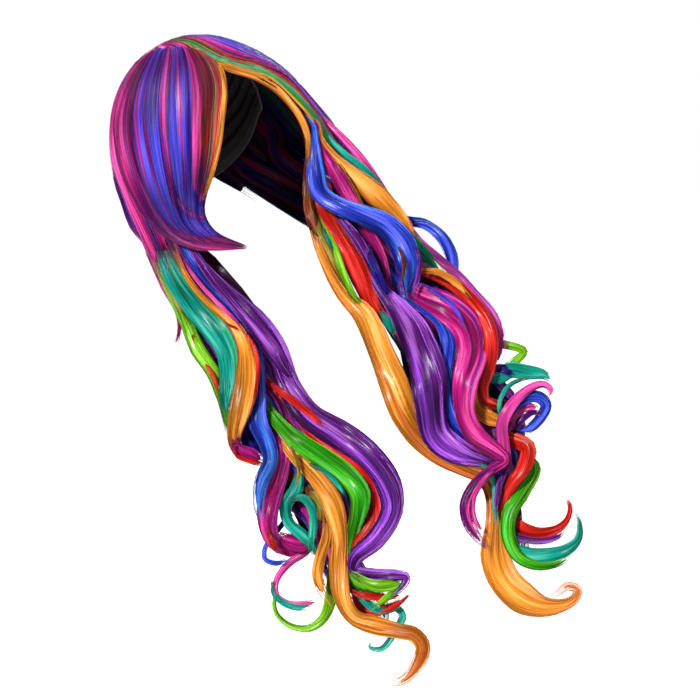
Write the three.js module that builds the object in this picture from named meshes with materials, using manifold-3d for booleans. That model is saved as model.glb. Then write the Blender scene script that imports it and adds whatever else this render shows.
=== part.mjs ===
// A long wavy synthetic wig in rainbow colours: a thin cap, a dome of hair over it,
// a swept bang across the face, and two tresses of separate coloured locks.
// Millimetres, +Z up, the face looks along -Y, the origin is the top of the head inside the cap.

import * as THREE from "three";
import { mergeVertices } from "three/addons/utils/BufferGeometryUtils.js";
import Module from "manifold-3d";

const wasm = await Module();
wasm.setup();

// Driving sizes

const GAP = 0.4; // clearance between neighbouring pieces
const CAP_WALL = 1.6;
const HEAD_HALF_WIDTH = 75;
const HEAD_FRONT = 93;
const HEAD_BACK = 97;
const HEAD_EQUATOR = -90; // height of the widest section of the head
const NAPE_SLOPE = 0.22; // how far the head draws in for each millimetre below that section
const SIDE_THICKNESS = 14; // of the hair that falls over the cap
const CROWN_HEM = -50; // where the crown hair ends and the side and back hair begin
const RIDGE_HEIGHT = 3; // of the locks that show on the dome of hair
const RIDGE_STEP = 9; // degrees between a ridge and the furrow beside it
const BANG_THICKNESS = 9;
const BANG_EDGE = 3; // thickness of the bang at its two edges and its tip
const BANG_RISE = 2; // how far the bang stands out of the dome of hair
const BANG_ARCH = 6; // how far its root arches up over the straight line between its two edges
const LOCK_STEP = 52; // longest stretch of a lock between two of its sections
const LOCK_BEND = 30; // most degrees that a lock turns between two of its sections
const FINE_LOCK = 6; // a lock this thin, or thinner, has the plainer of the two sections
const ROOT_SHARE = 0.6; // thickness of a lock at its root and tip, as a share of its middle
const TIP_SHARE = 0.25;

// The locks are drawn as they are seen from the front, three quarters on.
const VIEW_TURN = -17; // degrees from straight ahead, towards the right side of the head
const VIEW_DISTANCE = 2200;
const VIEW_CENTRE = { across: 23.9, height: -435 };
const DRAWING_DEPTH = 40; // the plane, in front of the head's axis, where the drawn places are true

// Sections of the outside of the hair, from the top of the crown down: height, half width, how far
// it reaches in front of and behind its middle, how far that lies to the right of the head's axis,
// and how thick the hair of the crown is there
const HAIR_DOME = [
  { height: 12, half: 0, front: 0, back: 0, aside: -10, thick: 0 },
  { height: 9.5, half: 31, front: 38, back: 42, aside: -9, thick: 9 },
  { height: 1, half: 52, front: 63, back: 70, aside: -8, thick: 7 },
  { height: -12, half: 72, front: 84, back: 92, aside: -7, thick: 9 },
  { height: -30, half: 91, front: 97, back: 106, aside: -6, thick: 11 },
  { height: -50, half: 107, front: 105, back: 115, aside: -4, thick: 12 },
  { height: -90, half: 127, front: 111, back: 122, aside: -2.5, thick: 14 },
  { height: -140, half: 137, front: 111, back: 120, aside: -2, thick: 14 },
  { height: -190, half: 143, front: 107, back: 112, aside: 0, thick: 14 },
  { height: -240, half: 148, front: 100, back: 100, aside: 0, thick: 14 },
  { height: -270, half: 150, front: 96, back: 94, aside: 0, thick: 14 },
];

// The lower edge of the cap round the head: degrees from the face, and height
const CAP_HEM = [
  { turn: 0, height: -42 },
  { turn: 45, height: -58 },
  { turn: 75, height: -112 },
  { turn: 95, height: -116 },
  { turn: 130, height: -138 },
  { turn: 180, height: -152 },
];

// How far round from the face the right side hair begins, as it arches from the parting
const FACE_EDGE = [
  { height: -50, turn: 8 },
  { height: -75, turn: 21 },
  { height: -95, turn: 31 },
  { height: -120, turn: 39 },
  { height: -150, turn: 44 },
  { height: -185, turn: 43 },
  { height: -210, turn: 38 },
];

// How far round the back hair reaches on each side of its parting at the nape
const NAPE_RIGHT = [
  { height: -110, turn: 180 },
  { height: -150, turn: 175 },
  { height: -190, turn: 166 },
  { height: -240, turn: 158 },
];
const NAPE_LEFT = NAPE_RIGHT.map(({ height, turn }) => ({ height, turn: 360 - turn }));

// The panels of hair below the crown: where each begins and ends round the head, in degrees or as
// one of the tables above, its hem from the one to the other, and the spans between its folds
const HAIR_PANELS = [
  { name: "side_hair_right", from: FACE_EDGE, to: 100, hems: [-206, -222, -236], spans: 7 },
  { name: "back_hair_right", from: 100, to: NAPE_RIGHT, hems: [-236, -232, -214, -190], spans: 9 },
  { name: "back_hair_left", from: NAPE_LEFT, to: 260, hems: [-190, -214, -232, -238], spans: 9 },
  { name: "side_hair_left", from: 260, to: 308, hems: [-238, -240, -236], spans: 5 },
];

// The two edges of the bang, from its root at the parting to its tip: across and height as drawn
const BANG_INNER = [
  { across: 36, height: -17 },
  { across: 43, height: -30 },
  { across: 48, height: -47 },
  { across: 46, height: -68 },
  { across: 25, height: -102 },
  { across: -2, height: -140 },
  { across: -32, height: -172 },
  { across: -54, height: -198 },
  { across: -54, height: -226 },
  { across: -27, height: -261 },
];
const BANG_OUTER = [
  { across: -14, height: 8 },
  { across: -36, height: 1 },
  { across: -66, height: -14 },
  { across: -98, height: -48 },
  { across: -115, height: -92 },
  { across: -121, height: -138 },
  { across: -117, height: -184 },
  { across: -101, height: -216 },
  { across: -74, height: -241 },
  { across: -29, height: -264 },
];

const COLOURS = {
  cap: 0x161014,
  dark: 0x1c0d12,
  magenta: 0xc4207c,
  pink: 0xe058b4,
  violet: 0x7a28a8,
  indigo: 0x2a1a90,
  blue: 0x2c48d8,
  teal: 0x12a08c,
  green: 0x30a81c,
  lime: 0x7cc81e,
  orange: 0xf09428,
  red: 0xd81a10,
};

// Every lock: its colour, its thickness, and a row for each bend with the place across, the
// height, the depth in front of the head's axis, the width there, and where the flat of the lock
// doesn't face the viewer, the degrees that it is turned to the right. Front locks come first.
const LOCKS = [
  { name: "frame_orange", colour: "orange", thickness: 6, bends: [
    [46, -42, 94, 3], [54, -52, 91, 7], [62, -60, 87, 9], [72, -70, 82, 9], [86, -86, 71, 9],
    [98, -108, 61, 9], [105, -135, 54, 8], [107, -158, 52, 8], [103, -180, 54, 7],
    [94, -198, 60, 6], [85, -212, 66, 4]] },
  { name: "left_orange", colour: "orange", thickness: 8, bends: [
    [-106, -212, 80, 6], [-110, -262, 76, 6], [-102, -302, 74, 8], [-89, -335, 76, 12],
    [-88, -368, 80, 20], [-104, -402, 84, 28], [-132, -436, 80, 26], [-154, -462, 70, 16],
    [-157, -480, 58, 12], [-145, -500, 46, 10], [-128, -512, 40, 6]] },
  { name: "left_purple", colour: "violet", thickness: 11, bends: [
    [-91, -212, 88, 10], [-86, -262, 84, 12], [-75, -302, 80, 19], [-62, -345, 76, 28],
    [-57, -392, 72, 31], [-64, -438, 70, 28], [-60, -480, 74, 33], [-38, -520, 78, 36],
    [-18, -560, 82, 34], [-13, -600, 84, 32], [-25, -634, 82, 28], [-60, -656, 78, 24],
    [-92, -664, 70, 18], [-101, -677, 64, 14], [-86, -692, 68, 16], [-60, -706, 74, 14],
    [-49, -715, 78, 10], [-58, -723, 80, 8], [-78, -727, 80, 4]] },
  { name: "left_teal", colour: "teal", thickness: 8, bends: [
    [-120, -212, 72, 16], [-125, -252, 67, 24], [-121, -292, 64, 28], [-111, -332, 64, 32],
    [-110, -362, 66, 30], [-124, -394, 66, 24], [-141, -418, 62, 16], [-152, -438, 56, 6]] },
  { name: "left_green", colour: "green", thickness: 8, bends: [
    [-101, -440, 46, 10], [-97, -470, 58, 16], [-88, -500, 66, 22], [-70, -535, 70, 26],
    [-54, -568, 73, 28], [-50, -596, 73, 26], [-64, -618, 69, 20], [-86, -640, 62, 14],
    [-102, -660, 54, 10], [-108, -682, 52, 14], [-95, -702, 56, 18], [-74, -713, 62, 14],
    [-62, -716, 66, 6]] },
  { name: "left_red", colour: "red", thickness: 7, bends: [
    [-88, -412, 42, 8], [-74, -455, 56, 10], [-68, -495, 62, 14], [-52, -535, 64, 18],
    [-40, -575, 66, 22], [-38, -606, 66, 26], [-52, -634, 62, 22], [-84, -648, 56, 12],
    [-98, -656, 50, 5]] },
  { name: "left_blue", colour: "blue", thickness: 8, bends: [
    [-98, -212, 86, 8], [-96, -255, 80, 14], [-89, -290, 74, 16], [-80, -318, 68, 12],
    [-75, -352, 62, 9], [-80, -390, 60, 9], [-99, -428, 60, 14], [-118, -458, 62, 26],
    [-121, -485, 66, 22], [-128, -508, 70, 18], [-150, -526, 74, 18], [-167, -550, 72, 14],
    [-174, -576, 66, 5]] },
  { name: "left_lime", colour: "lime", thickness: 7, bends: [
    [-133, -208, 50, 10], [-136, -260, 50, 12], [-139, -310, 50, 14], [-141, -345, 51, 20],
    [-138, -380, 52, 18], [-144, -410, 50, 12], [-153, -440, 47, 8], [-158, -453, 46, 3]] },
  { name: "left_orange_low", colour: "orange", thickness: 9, bends: [
    [-106, -470, 42, 10], [-99, -515, 58, 15], [-88, -556, 64, 22], [-86, -592, 66, 26],
    [-98, -630, 66, 22], [-117, -664, 66, 23], [-131, -700, 66, 20], [-130, -728, 66, 20],
    [-112, -750, 66, 22], [-90, -768, 66, 18], [-74, -782, 68, 18], [-72, -800, 70, 18],
    [-88, -817, 72, 16], [-112, -826, 72, 12], [-136, -820, 70, 4]] },
  { name: "left_magenta", colour: "magenta", thickness: 9, bends: [
    [-104, -472, 46, 10], [-110, -506, 54, 20], [-128, -528, 62, 26], [-150, -548, 64, 28],
    [-166, -572, 62, 24], [-172, -598, 56, 20], [-158, -615, 50, 22], [-140, -622, 46, 18],
    [-125, -618, 42, 8]] },
  { name: "left_teal_curl", colour: "teal", thickness: 7, bends: [
    [-103, -536, 46, 12], [-116, -554, 56, 16], [-138, -566, 60, 14], [-145, -586, 60, 13],
    [-136, -610, 58, 14], [-132, -630, 56, 10], [-140, -641, 54, 4]] },
  { name: "left_blue_loop", colour: "blue", thickness: 4, bends: [
    [-136, -578, 44, 6], [-165, -590, 50, 5], [-185, -600, 54, 5], [-192, -612, 54, 5],
    [-182, -623, 52, 6], [-160, -627, 48, 4]] },
  { name: "left_magenta_loop", colour: "pink", thickness: 5, bends: [
    [-118, -606, 40, 8], [-140, -627, 46, 10], [-168, -631, 50, 9], [-192, -642, 52, 7],
    [-200, -658, 52, 6], [-190, -676, 50, 7], [-172, -686, 48, 8], [-158, -690, 44, 4]] },
  { name: "left_lime_loop", colour: "lime", thickness: 5, bends: [
    [-122, -655, 40, 9], [-144, -694, 44, 15], [-164, -711, 48, 11], [-186, -713, 50, 8],
    [-205, -699, 50, 6], [-212, -678, 48, 5], [-204, -660, 46, 4], [-190, -652, 44, 3]] },
  { name: "left_teal_tail", colour: "teal", thickness: 5, bends: [
    [-112, -690, 42, 9], [-108, -716, 48, 10], [-96, -738, 54, 8], [-78, -743, 57, 8],
    [-76, -756, 58, 9], [-92, -767, 58, 8], [-118, -778, 57, 6], [-130, -769, 56, 4],
    [-119, -763, 56, 3]] },
  { name: "left_red_low", colour: "red", thickness: 5, bends: [
    [-104, -668, 42, 8], [-110, -697, 43, 12], [-118, -722, 45, 11], [-106, -735, 48, 10],
    [-84, -737, 50, 8], [-60, -735, 52, 5]] },
  { name: "left_wisp", colour: "magenta", thickness: 4, bends: [
    [-137, -205, 36, 8], [-141, -255, 34, 7], [-141, -290, 33, 5], [-150, -312, 33, 4],
    [-162, -326, 33, 3]] },
  { name: "left_dark", colour: "dark", thickness: 9, bends: [
    [-92, -225, 36, 20], [-78, -262, 44, 24], [-66, -312, 50, 20], [-58, -366, 54, 14],
    [-56, -412, 56, 7]] },
  { name: "right_blue", colour: "blue", thickness: 9, bends: [
    [108, -190, 56, 10], [93, -218, 60, 22], [84, -246, 64, 24], [97, -272, 66, 22],
    [118, -297, 66, 24], [136, -320, 66, 30], [143, -350, 66, 34], [136, -380, 64, 30],
    [122, -402, 60, 24], [114, -424, 54, 10]] },
  { name: "right_purple", colour: "violet", thickness: 11, bends: [
    [92, -225, 44, 8], [92, -285, 48, 10], [97, -325, 53, 13], [94, -360, 56, 14],
    [95, -392, 58, 16], [101, -420, 60, 26], [104, -450, 62, 40], [102, -480, 64, 45],
    [94, -510, 66, 45], [78, -545, 68, 40], [68, -578, 68, 38], [80, -608, 66, 32],
    [102, -632, 60, 20], [122, -650, 54, 8]] },
  { name: "right_magenta", colour: "magenta", thickness: 11, bends: [
    [116, -392, 44, 14], [134, -418, 56, 26], [154, -446, 63, 36], [164, -478, 66, 42],
    [156, -508, 70, 40], [129, -538, 74, 31], [112, -570, 76, 25], [110, -602, 76, 25],
    [122, -630, 74, 19], [126, -645, 74, 13], [105, -649, 72, 12], [78, -656, 70, 12],
    [57, -672, 68, 14], [50, -694, 66, 14], [52, -716, 64, 10], [56, -732, 62, 3]] },
  { name: "right_magenta_ring", colour: "pink", thickness: 6, bends: [
    [128, -656, 60, 8], [136, -626, 66, 15], [146, -604, 67, 15], [166, -590, 66, 13],
    [192, -583, 63, 10], [214, -586, 58, 8], [219, -597, 53, 7], [209, -606, 50, 4]] },
  { name: "right_orange_side", colour: "orange", thickness: 8, bends: [
    [116, -190, 46, 8], [121, -218, 46, 12], [132, -250, 48, 23], [145, -285, 48, 28],
    [156, -318, 46, 18], [160, -338, 43, 10], [156, -353, 40, 5]] },
  { name: "right_magenta_side", colour: "magenta", thickness: 8, bends: [
    [111, -190, 48, 8], [112, -222, 52, 15], [112, -258, 52, 18], [116, -288, 50, 16],
    [112, -318, 47, 16], [113, -345, 47, 14], [107, -375, 46, 10], [102, -396, 44, 6]] },
  { name: "right_red", colour: "red", thickness: 8, bends: [
    [84, -222, 44, 10], [79, -262, 50, 16], [79, -300, 52, 19], [80, -340, 54, 25],
    [78, -375, 53, 26], [75, -402, 50, 18], [82, -422, 44, 6]] },
  { name: "right_red_band", colour: "red", thickness: 8, bends: [
    [136, -376, 40, 8], [152, -395, 45, 12], [170, -415, 50, 16], [183, -445, 54, 16],
    [189, -478, 56, 18], [182, -508, 58, 18], [164, -535, 58, 20], [146, -552, 56, 18],
    [140, -568, 54, 16], [150, -580, 50, 12], [168, -585, 46, 5]] },
  { name: "right_blue_mid", colour: "blue", thickness: 8, bends: [
    [117, -405, 40, 12], [130, -430, 47, 18], [141, -458, 52, 20], [138, -484, 55, 24],
    [120, -508, 56, 24], [104, -532, 56, 22], [95, -562, 54, 20], [99, -592, 52, 18],
    [109, -618, 50, 12], [114, -640, 48, 5]] },
  { name: "right_orange", colour: "orange", thickness: 9, bends: [
    [98, -196, 30, 8], [74, -238, 40, 9], [56, -284, 47, 11], [49, -330, 50, 13],
    [50, -372, 52, 18], [60, -405, 54, 27], [57, -450, 56, 32], [52, -495, 57, 36],
    [46, -535, 57, 38], [50, -570, 56, 34], [62, -604, 54, 28], [80, -632, 50, 22],
    [94, -656, 45, 15], [90, -682, 44, 15], [76, -712, 46, 23], [61, -742, 48, 36],
    [56, -775, 50, 42], [65, -806, 52, 40], [84, -829, 54, 24], [106, -839, 55, 14],
    [122, -838, 55, 11], [130, -830, 54, 10], [121, -820, 52, 10], [96, -824, 50, 5]] },
  { name: "right_lime", colour: "lime", thickness: 6, bends: [
    [76, -238, 38, 6], [70, -285, 52, 7], [67, -320, 59, 8], [61, -352, 61, 9], [60, -380, 60, 8],
    [67, -402, 56, 4]] },
  { name: "right_pink_side", colour: "pink", thickness: 8, bends: [
    [138, -190, 4, 8], [147, -225, 6, 10], [152, -258, 8, 10], [155, -290, 12, 8],
    [159, -330, 18, 8], [163, -358, 26, 9], [174, -386, 32, 10], [184, -415, 38, 12],
    [190, -448, 42, 16], [197, -480, 44, 18], [193, -508, 44, 19], [181, -530, 44, 15],
    [164, -545, 42, 6]] },
  { name: "right_blue_loop", colour: "blue", thickness: 7, bends: [
    [141, -298, 8, 8], [161, -327, 12, 12], [179, -341, 16, 14], [190, -367, 19, 14],
    [190, -393, 22, 14], [183, -413, 24, 10], [177, -426, 25, 4]] },
  { name: "right_teal_side", colour: "teal", thickness: 6, bends: [
    [126, -192, 26, 6], [133, -218, 26, 9], [144, -245, 26, 12], [152, -275, 28, 9],
    [152, -320, 28, 10], [158, -362, 34, 16], [165, -392, 36, 16], [172, -416, 37, 6]] },
  { name: "right_orange_curl", colour: "orange", thickness: 7, bends: [
    [140, -520, 46, 12], [132, -552, 52, 20], [130, -578, 54, 22], [140, -597, 52, 16],
    [154, -604, 48, 6]] },
  { name: "right_blue_ring", colour: "blue", thickness: 6, bends: [
    [136, -612, 40, 8], [158, -597, 48, 11], [182, -590, 53, 14], [201, -597, 53, 14],
    [205, -611, 51, 14], [190, -622, 49, 13], [170, -626, 47, 11], [155, -618, 45, 5]] },
  { name: "right_lime_knot", colour: "lime", thickness: 5, bends: [
    [172, -500, 32, 8], [193, -519, 34, 10], [206, -530, 36, 10], [212, -539, 36, 9],
    [198, -544, 34, 10], [181, -543, 31, 4]] },
  { name: "right_teal_curl", colour: "teal", thickness: 6, bends: [
    [146, -530, 28, 10], [168, -551, 33, 18], [186, -551, 37, 20], [204, -564, 40, 18],
    [220, -576, 41, 12], [226, -590, 40, 5]] },
  { name: "right_red_low", colour: "red", thickness: 7, bends: [
    [132, -612, 36, 9], [150, -631, 48, 19], [160, -646, 53, 20], [146, -663, 55, 18],
    [118, -678, 55, 15], [98, -695, 53, 11], [87, -714, 49, 5]] },
  { name: "right_lime_low", colour: "green", thickness: 8, bends: [
    [152, -652, 36, 9], [155, -673, 43, 17], [128, -690, 48, 20], [101, -706, 50, 19],
    [86, -732, 60, 18], [85, -760, 61, 14], [100, -780, 60, 10], [126, -790, 59, 7],
    [147, -789, 58, 3]] },
  { name: "right_teal_low", colour: "teal", thickness: 7, bends: [
    [110, -640, 36, 8], [96, -672, 38, 10], [83, -704, 40, 11], [77, -732, 44, 14],
    [89, -756, 48, 20], [114, -774, 51, 18], [142, -781, 53, 14], [162, -774, 53, 9],
    [172, -756, 53, 5], [173, -742, 53, 3]] },
  { name: "right_red_curl", colour: "red", thickness: 6, bends: [
    [97, -706, 36, 13], [104, -730, 42, 21], [122, -747, 47, 15], [144, -753, 50, 10],
    [161, -747, 51, 6], [171, -734, 52, 4], [171, -722, 52, 3]] },
  { name: "left_side", colour: "violet", thickness: 14, bends: [
    [-130, -200, 10, 40, -95], [-134, -280, 10, 50, -95], [-123, -350, 16, 54, -90],
    [-134, -420, 20, 52, -85], [-117, -490, 16, 50, -90], [-133, -550, 22, 44, -90],
    [-118, -610, 18, 36, -90], [-133, -660, 24, 24, -90], [-124, -704, 25, 6, -90]] },
  { name: "right_side", colour: "magenta", thickness: 14, bends: [
    [134, -200, -18, 40, 82], [148, -280, -14, 50, 80], [140, -350, -4, 54, 85],
    [166, -420, 5, 54, 75], [176, -480, 14, 50, 70], [162, -540, 10, 46, 75],
    [172, -600, 16, 38, 80], [146, -652, 13, 24, 80], [140, -694, 18, 6, 80]] },
  { name: "left_rear", colour: "teal", thickness: 16, bends: [
    [-115, -190, -40, 44, -125], [-124, -250, -28, 52, -118], [-118, -320, -8, 54, -115],
    [-106, -390, -6, 54, -125], [-120, -460, -2, 56, -135], [-104, -530, -5, 52, -140],
    [-119, -600, 2, 42, -140], [-106, -660, 1, 28, -140], [-114, -714, 8, 8, -140]] },
  { name: "right_rear", colour: "blue", thickness: 16, bends: [
    [108, -185, -72, 44, 120], [124, -250, -58, 52, 115], [138, -320, -36, 54, 115],
    [132, -390, -22, 56, 120], [158, -460, -8, 60, 130], [148, -530, -10, 56, 135],
    [157, -600, -2, 46, 140], [132, -655, -2, 30, 140], [130, -708, 4, 8, 140]] },
  { name: "left_back", colour: "magenta", thickness: 16, bends: [
    [-74, -170, -80, 40, -155], [-92, -235, -66, 52, -145], [-108, -305, -38, 56, -150],
    [-92, -380, -24, 60, -165], [-80, -455, -16, 64, -180], [-99, -530, -20, 60, -180],
    [-84, -600, -10, 48, -180], [-105, -665, -9, 34, -180], [-91, -725, 0, 18, -180],
    [-102, -760, 4, 5, -180]] },
  { name: "right_nape", colour: "orange", thickness: 15, bends: [
    [62, -180, -100, 44, 145], [92, -250, -84, 50, 140], [122, -320, -58, 54, 135],
    [118, -390, -42, 56, 145], [143, -460, -26, 58, 155], [128, -530, -26, 56, 165],
    [152, -600, -16, 44, 170], [132, -655, -14, 28, 175], [142, -700, -6, 6, 180]] },
  { name: "right_back", colour: "violet", thickness: 16, bends: [
    [16, -168, -110, 40, 165], [52, -232, -103, 50, 158], [90, -300, -76, 56, 155],
    [94, -380, -54, 60, 165], [111, -455, -36, 62, 180], [88, -530, -34, 58, 180],
    [105, -600, -22, 46, 180], [98, -665, -19, 26, 180], [103, -728, -6, 14, 180],
    [96, -764, 0, 5, 180]] },
  { name: "left_core", colour: "indigo", thickness: 36, bends: [
    [-114, -222, 30, 30], [-106, -290, 26, 50], [-102, -360, 26, 62], [-100, -440, 26, 68],
    [-94, -510, 27, 76], [-92, -570, 28, 74], [-102, -635, 28, 54], [-110, -695, 29, 28],
    [-108, -728, 30, 8]] },
  { name: "right_core", colour: "indigo", thickness: 36, bends: [
    [124, -222, 8, 30], [114, -290, 14, 52], [110, -360, 16, 68], [118, -440, 18, 88],
    [122, -510, 18, 94], [118, -570, 18, 82], [120, -630, 19, 60], [106, -690, 20, 36],
    [94, -732, 22, 20], [92, -756, 23, 8]] },
];

// Helpers

const radians = THREE.MathUtils.degToRad;
const mix = THREE.MathUtils.lerp;
const UP = new THREE.Vector3(0, 0, 1);
const VIEW_ACROSS = new THREE.Vector3(1, 0, 0).applyAxisAngle(UP, radians(VIEW_TURN));
const VIEW_FORWARD = new THREE.Vector3(0, -1, 0).applyAxisAngle(UP, radians(VIEW_TURN));

/** A named column of a table at a place between its rows. */
function between(rows, key, place, column) {
  const falling = rows[0][key] > rows[rows.length - 1][key];
  const after = rows.findIndex((row) => (falling ? row[key] <= place : row[key] >= place));
  if (after === 0) return rows[0][column];
  if (after < 0) return rows[rows.length - 1][column];
  const [low, high] = [rows[after - 1], rows[after]];
  return mix(low[column], high[column], (place - low[key]) / (high[key] - low[key]));
}

/** A drawn place, moved along the line of sight to its depth, in the wig's own frame. */
function placed(across, height, depth) {
  const nearness = (VIEW_DISTANCE - depth) / (VIEW_DISTANCE - DRAWING_DEPTH);
  const s = VIEW_CENTRE.across + (across - VIEW_CENTRE.across) * nearness;
  const z = VIEW_CENTRE.height + (height - VIEW_CENTRE.height) * nearness;
  return new THREE.Vector3(0, 0, z).addScaledVector(VIEW_ACROSS, s).addScaledVector(VIEW_FORWARD, depth);
}

/** A closed mesh from a grid of outer points and the same grid of inner points. */
function wallGeometry(outer, inner, closedRound) {
  const rows = outer.length;
  const columns = outer[0].length;
  const positions = [...outer.flat(), ...inner.flat()].flatMap((p) => [p.x, p.y, p.z]);
  const at = (side, r, c) => side * rows * columns + r * columns + (c % columns);
  const index = [];
  const quad = (a, b, c, d) => index.push(a, b, c, a, c, d);
  const spans = closedRound ? columns : columns - 1;
  for (let r = 0; r < rows - 1; r++) {
    for (let c = 0; c < spans; c++) {
      quad(at(0, r, c), at(0, r + 1, c), at(0, r + 1, c + 1), at(0, r, c + 1));
      quad(at(1, r, c), at(1, r, c + 1), at(1, r + 1, c + 1), at(1, r + 1, c));
    }
  }
  for (let c = 0; c < spans; c++) {
    quad(at(0, rows - 1, c), at(1, rows - 1, c), at(1, rows - 1, c + 1), at(0, rows - 1, c + 1));
    if (!closedRound) quad(at(0, 0, c + 1), at(1, 0, c + 1), at(1, 0, c), at(0, 0, c));
  }
  if (!closedRound) {
    for (let r = 0; r < rows - 1; r++) {
      quad(at(0, r, 0), at(1, r, 0), at(1, r + 1, 0), at(0, r + 1, 0));
      const last = columns - 1;
      quad(at(0, r + 1, last), at(1, r + 1, last), at(1, r, last), at(0, r, last));
    }
  }
  const geometry = new THREE.BufferGeometry();
  geometry.setAttribute("position", new THREE.Float32BufferAttribute(positions, 3));
  geometry.setIndex(index);
  return geometry;
}

/** A solid that booleans can work on, turned right side out. */
function solid(geometry) {
  const merged = mergeVertices(geometry, 1e-3);
  const index = Array.from(merged.index.array);
  const kept = [];
  for (let i = 0; i < index.length; i += 3) {
    const [a, b, c] = index.slice(i, i + 3);
    if (a !== b && b !== c && c !== a) kept.push(a, b, c);
  }
  const build = (triangles) =>
    new wasm.Manifold(
      new wasm.Mesh({
        numProp: 3,
        vertProperties: new Float32Array(merged.attributes.position.array),
        triVerts: new Uint32Array(triangles),
      }),
    );
  const made = build(kept);
  if (made.volume() > 0) return made;
  const turned = [];
  for (let i = 0; i < kept.length; i += 3) turned.push(kept[i], kept[i + 2], kept[i + 1]);
  return build(turned);
}

/** The largest of the bodies that a cut leaves. */
function largest(manifold) {
  return manifold.decompose().reduce((a, b) => (a.volume() >= b.volume() ? a : b));
}

function boxesMeet(a, b) {
  const [p, q] = [a.boundingBox(), b.boundingBox()];
  return [0, 1, 2].every((i) => p.min[i] <= q.max[i] && q.min[i] <= p.max[i]);
}

/** A body with room cut in it for every earlier body that it meets. */
function clearOf(body, rooms) {
  const met = rooms.filter((room) => boxesMeet(body, room));
  return met.length ? largest(met.reduce((left, room) => left.subtract(room), body)) : body;
}

/** A mesh of the scene graph from a finished solid. */
function meshOf(name, colour, manifold) {
  const made = manifold.getMesh();
  const geometry = new THREE.BufferGeometry();
  geometry.setAttribute("position", new THREE.BufferAttribute(made.vertProperties, 3));
  geometry.setIndex(new THREE.BufferAttribute(made.triVerts, 1));
  geometry.computeVertexNormals();
  const material = new THREE.MeshStandardMaterial({ color: COLOURS[colour], roughness: 0.4, metalness: 0 });
  const mesh = new THREE.Mesh(geometry, material);
  mesh.name = name;
  return mesh;
}

// The cap

/** A point of the head, or of a shell that stands off it, at a turn from the face. */
function onHead(turn, height, standOff) {
  const above = Math.max(0, height - HEAD_EQUATOR) / -HEAD_EQUATOR;
  const below = Math.max(0, HEAD_EQUATOR - height) * NAPE_SLOPE;
  const share = Math.sqrt(Math.max(0, 1 - above * above));
  const reach = (size) => size * share - below + standOff * share;
  const facing = Math.cos(radians(turn));
  const depth = reach(facing > 0 ? HEAD_FRONT : HEAD_BACK);
  const x = reach(HEAD_HALF_WIDTH) * Math.sin(radians(turn));
  return new THREE.Vector3(x, -depth * facing, height + standOff * above);
}

function capSolid() {
  const columns = 28;
  const bands = 6;
  const shell = (standOff) =>
    Array.from({ length: bands + 1 }, (_, r) =>
      Array.from({ length: columns }, (_, c) => {
        const turn = (360 * c) / columns;
        const hem = between(CAP_HEM, "turn", turn > 180 ? 360 - turn : turn, "height");
        const lean = 1 - Math.cos((r / bands) * (Math.PI / 2));
        return onHead(turn, hem * mix(lean, r / bands, 0.35), standOff);
      }),
    );
  return solid(wallGeometry(shell(CAP_WALL), shell(0), true));
}

// The dome of hair over the cap

/** A point of the dome at a turn from the face, drawn in by a thickness, with a share of its shift. */
function onDome(turn, height, drawnIn, asideShare = 1) {
  const column = (name) => between(HAIR_DOME, "height", height, name);
  const size = (name) => Math.max(0, column(name) - drawnIn);
  const facing = Math.cos(radians(turn));
  const depth = size(facing > 0 ? "front" : "back");
  const x = column("aside") * asideShare + size("half") * Math.sin(radians(turn));
  return new THREE.Vector3(x, -depth * facing, height);
}

/** The ridge or furrow that a column of the dome follows. */
function ridge(column) {
  return column % 2 ? RIDGE_HEIGHT : 0;
}

function crownSolid() {
  const rows = HAIR_DOME.filter((row) => row.height >= CROWN_HEM);
  const columns = 360 / RIDGE_STEP;
  const top = rows[0].height;
  const innerTop = CAP_WALL + GAP;
  const grid = (point) =>
    rows.map((row) => Array.from({ length: columns }, (_, c) => point(row, c * RIDGE_STEP, c)));
  const outer = grid((row, turn, c) => onDome(turn, row.height, row.half > 0 ? ridge(c) : 0));
  const inner = grid((row, turn) => {
    const sunk = mix(top - innerTop, 0, (top - row.height) / (top - CROWN_HEM));
    return onDome(turn, row.height, row.thick, 0).setZ(row.height - sunk);
  });
  return solid(wallGeometry(outer, inner, true));
}

/** The turn at which a panel begins or ends, at a height. */
function edgeTurn(edge, height) {
  return typeof edge === "number" ? edge : between(edge, "height", height, "turn");
}

function panelSolid({ from, to, hems, spans }) {
  const margin = 0.15; // degrees, which leaves the gap between two panels
  const bands = 5;
  const hemRows = hems.map((height, i) => ({ share: i / (hems.length - 1), height }));
  const grid = (drawnIn) =>
    Array.from({ length: bands + 1 }, (_, r) =>
      Array.from({ length: spans + 1 }, (_, c) => {
        const hem = between(hemRows, "share", c / spans, "height");
        const height = mix(CROWN_HEM - GAP, hem, r / bands);
        const turn = mix(edgeTurn(from, height) + margin, edgeTurn(to, height) - margin, c / spans);
        return onDome(turn, height, drawnIn(c));
      }),
    );
  return solid(wallGeometry(grid(ridge), grid(() => SIDE_THICKNESS), false));
}

// The bang

/** The place on the front of the dome where a drawn point lies. */
function laidOnDome(across, height) {
  let point = placed(across, height, DRAWING_DEPTH);
  for (let i = 0; i < 4; i++) {
    const half = Math.max(1, between(HAIR_DOME, "height", point.z, "half"));
    const front = Math.max(1, between(HAIR_DOME, "height", point.z, "front"));
    const base = VIEW_ACROSS.clone().multiplyScalar(point.dot(VIEW_ACROSS));
    base.x -= between(HAIR_DOME, "height", point.z, "aside");
    const f = VIEW_FORWARD;
    const square = (f.x / half) ** 2 + (f.y / front) ** 2;
    const cross = (base.x * f.x) / half ** 2 + (base.y * f.y) / front ** 2;
    const rest = (base.x / half) ** 2 + (base.y / front) ** 2 - 1;
    const depth = (-cross + Math.sqrt(Math.max(0, cross * cross - square * rest))) / square;
    point = placed(across, height, depth);
  }
  return point;
}

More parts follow.
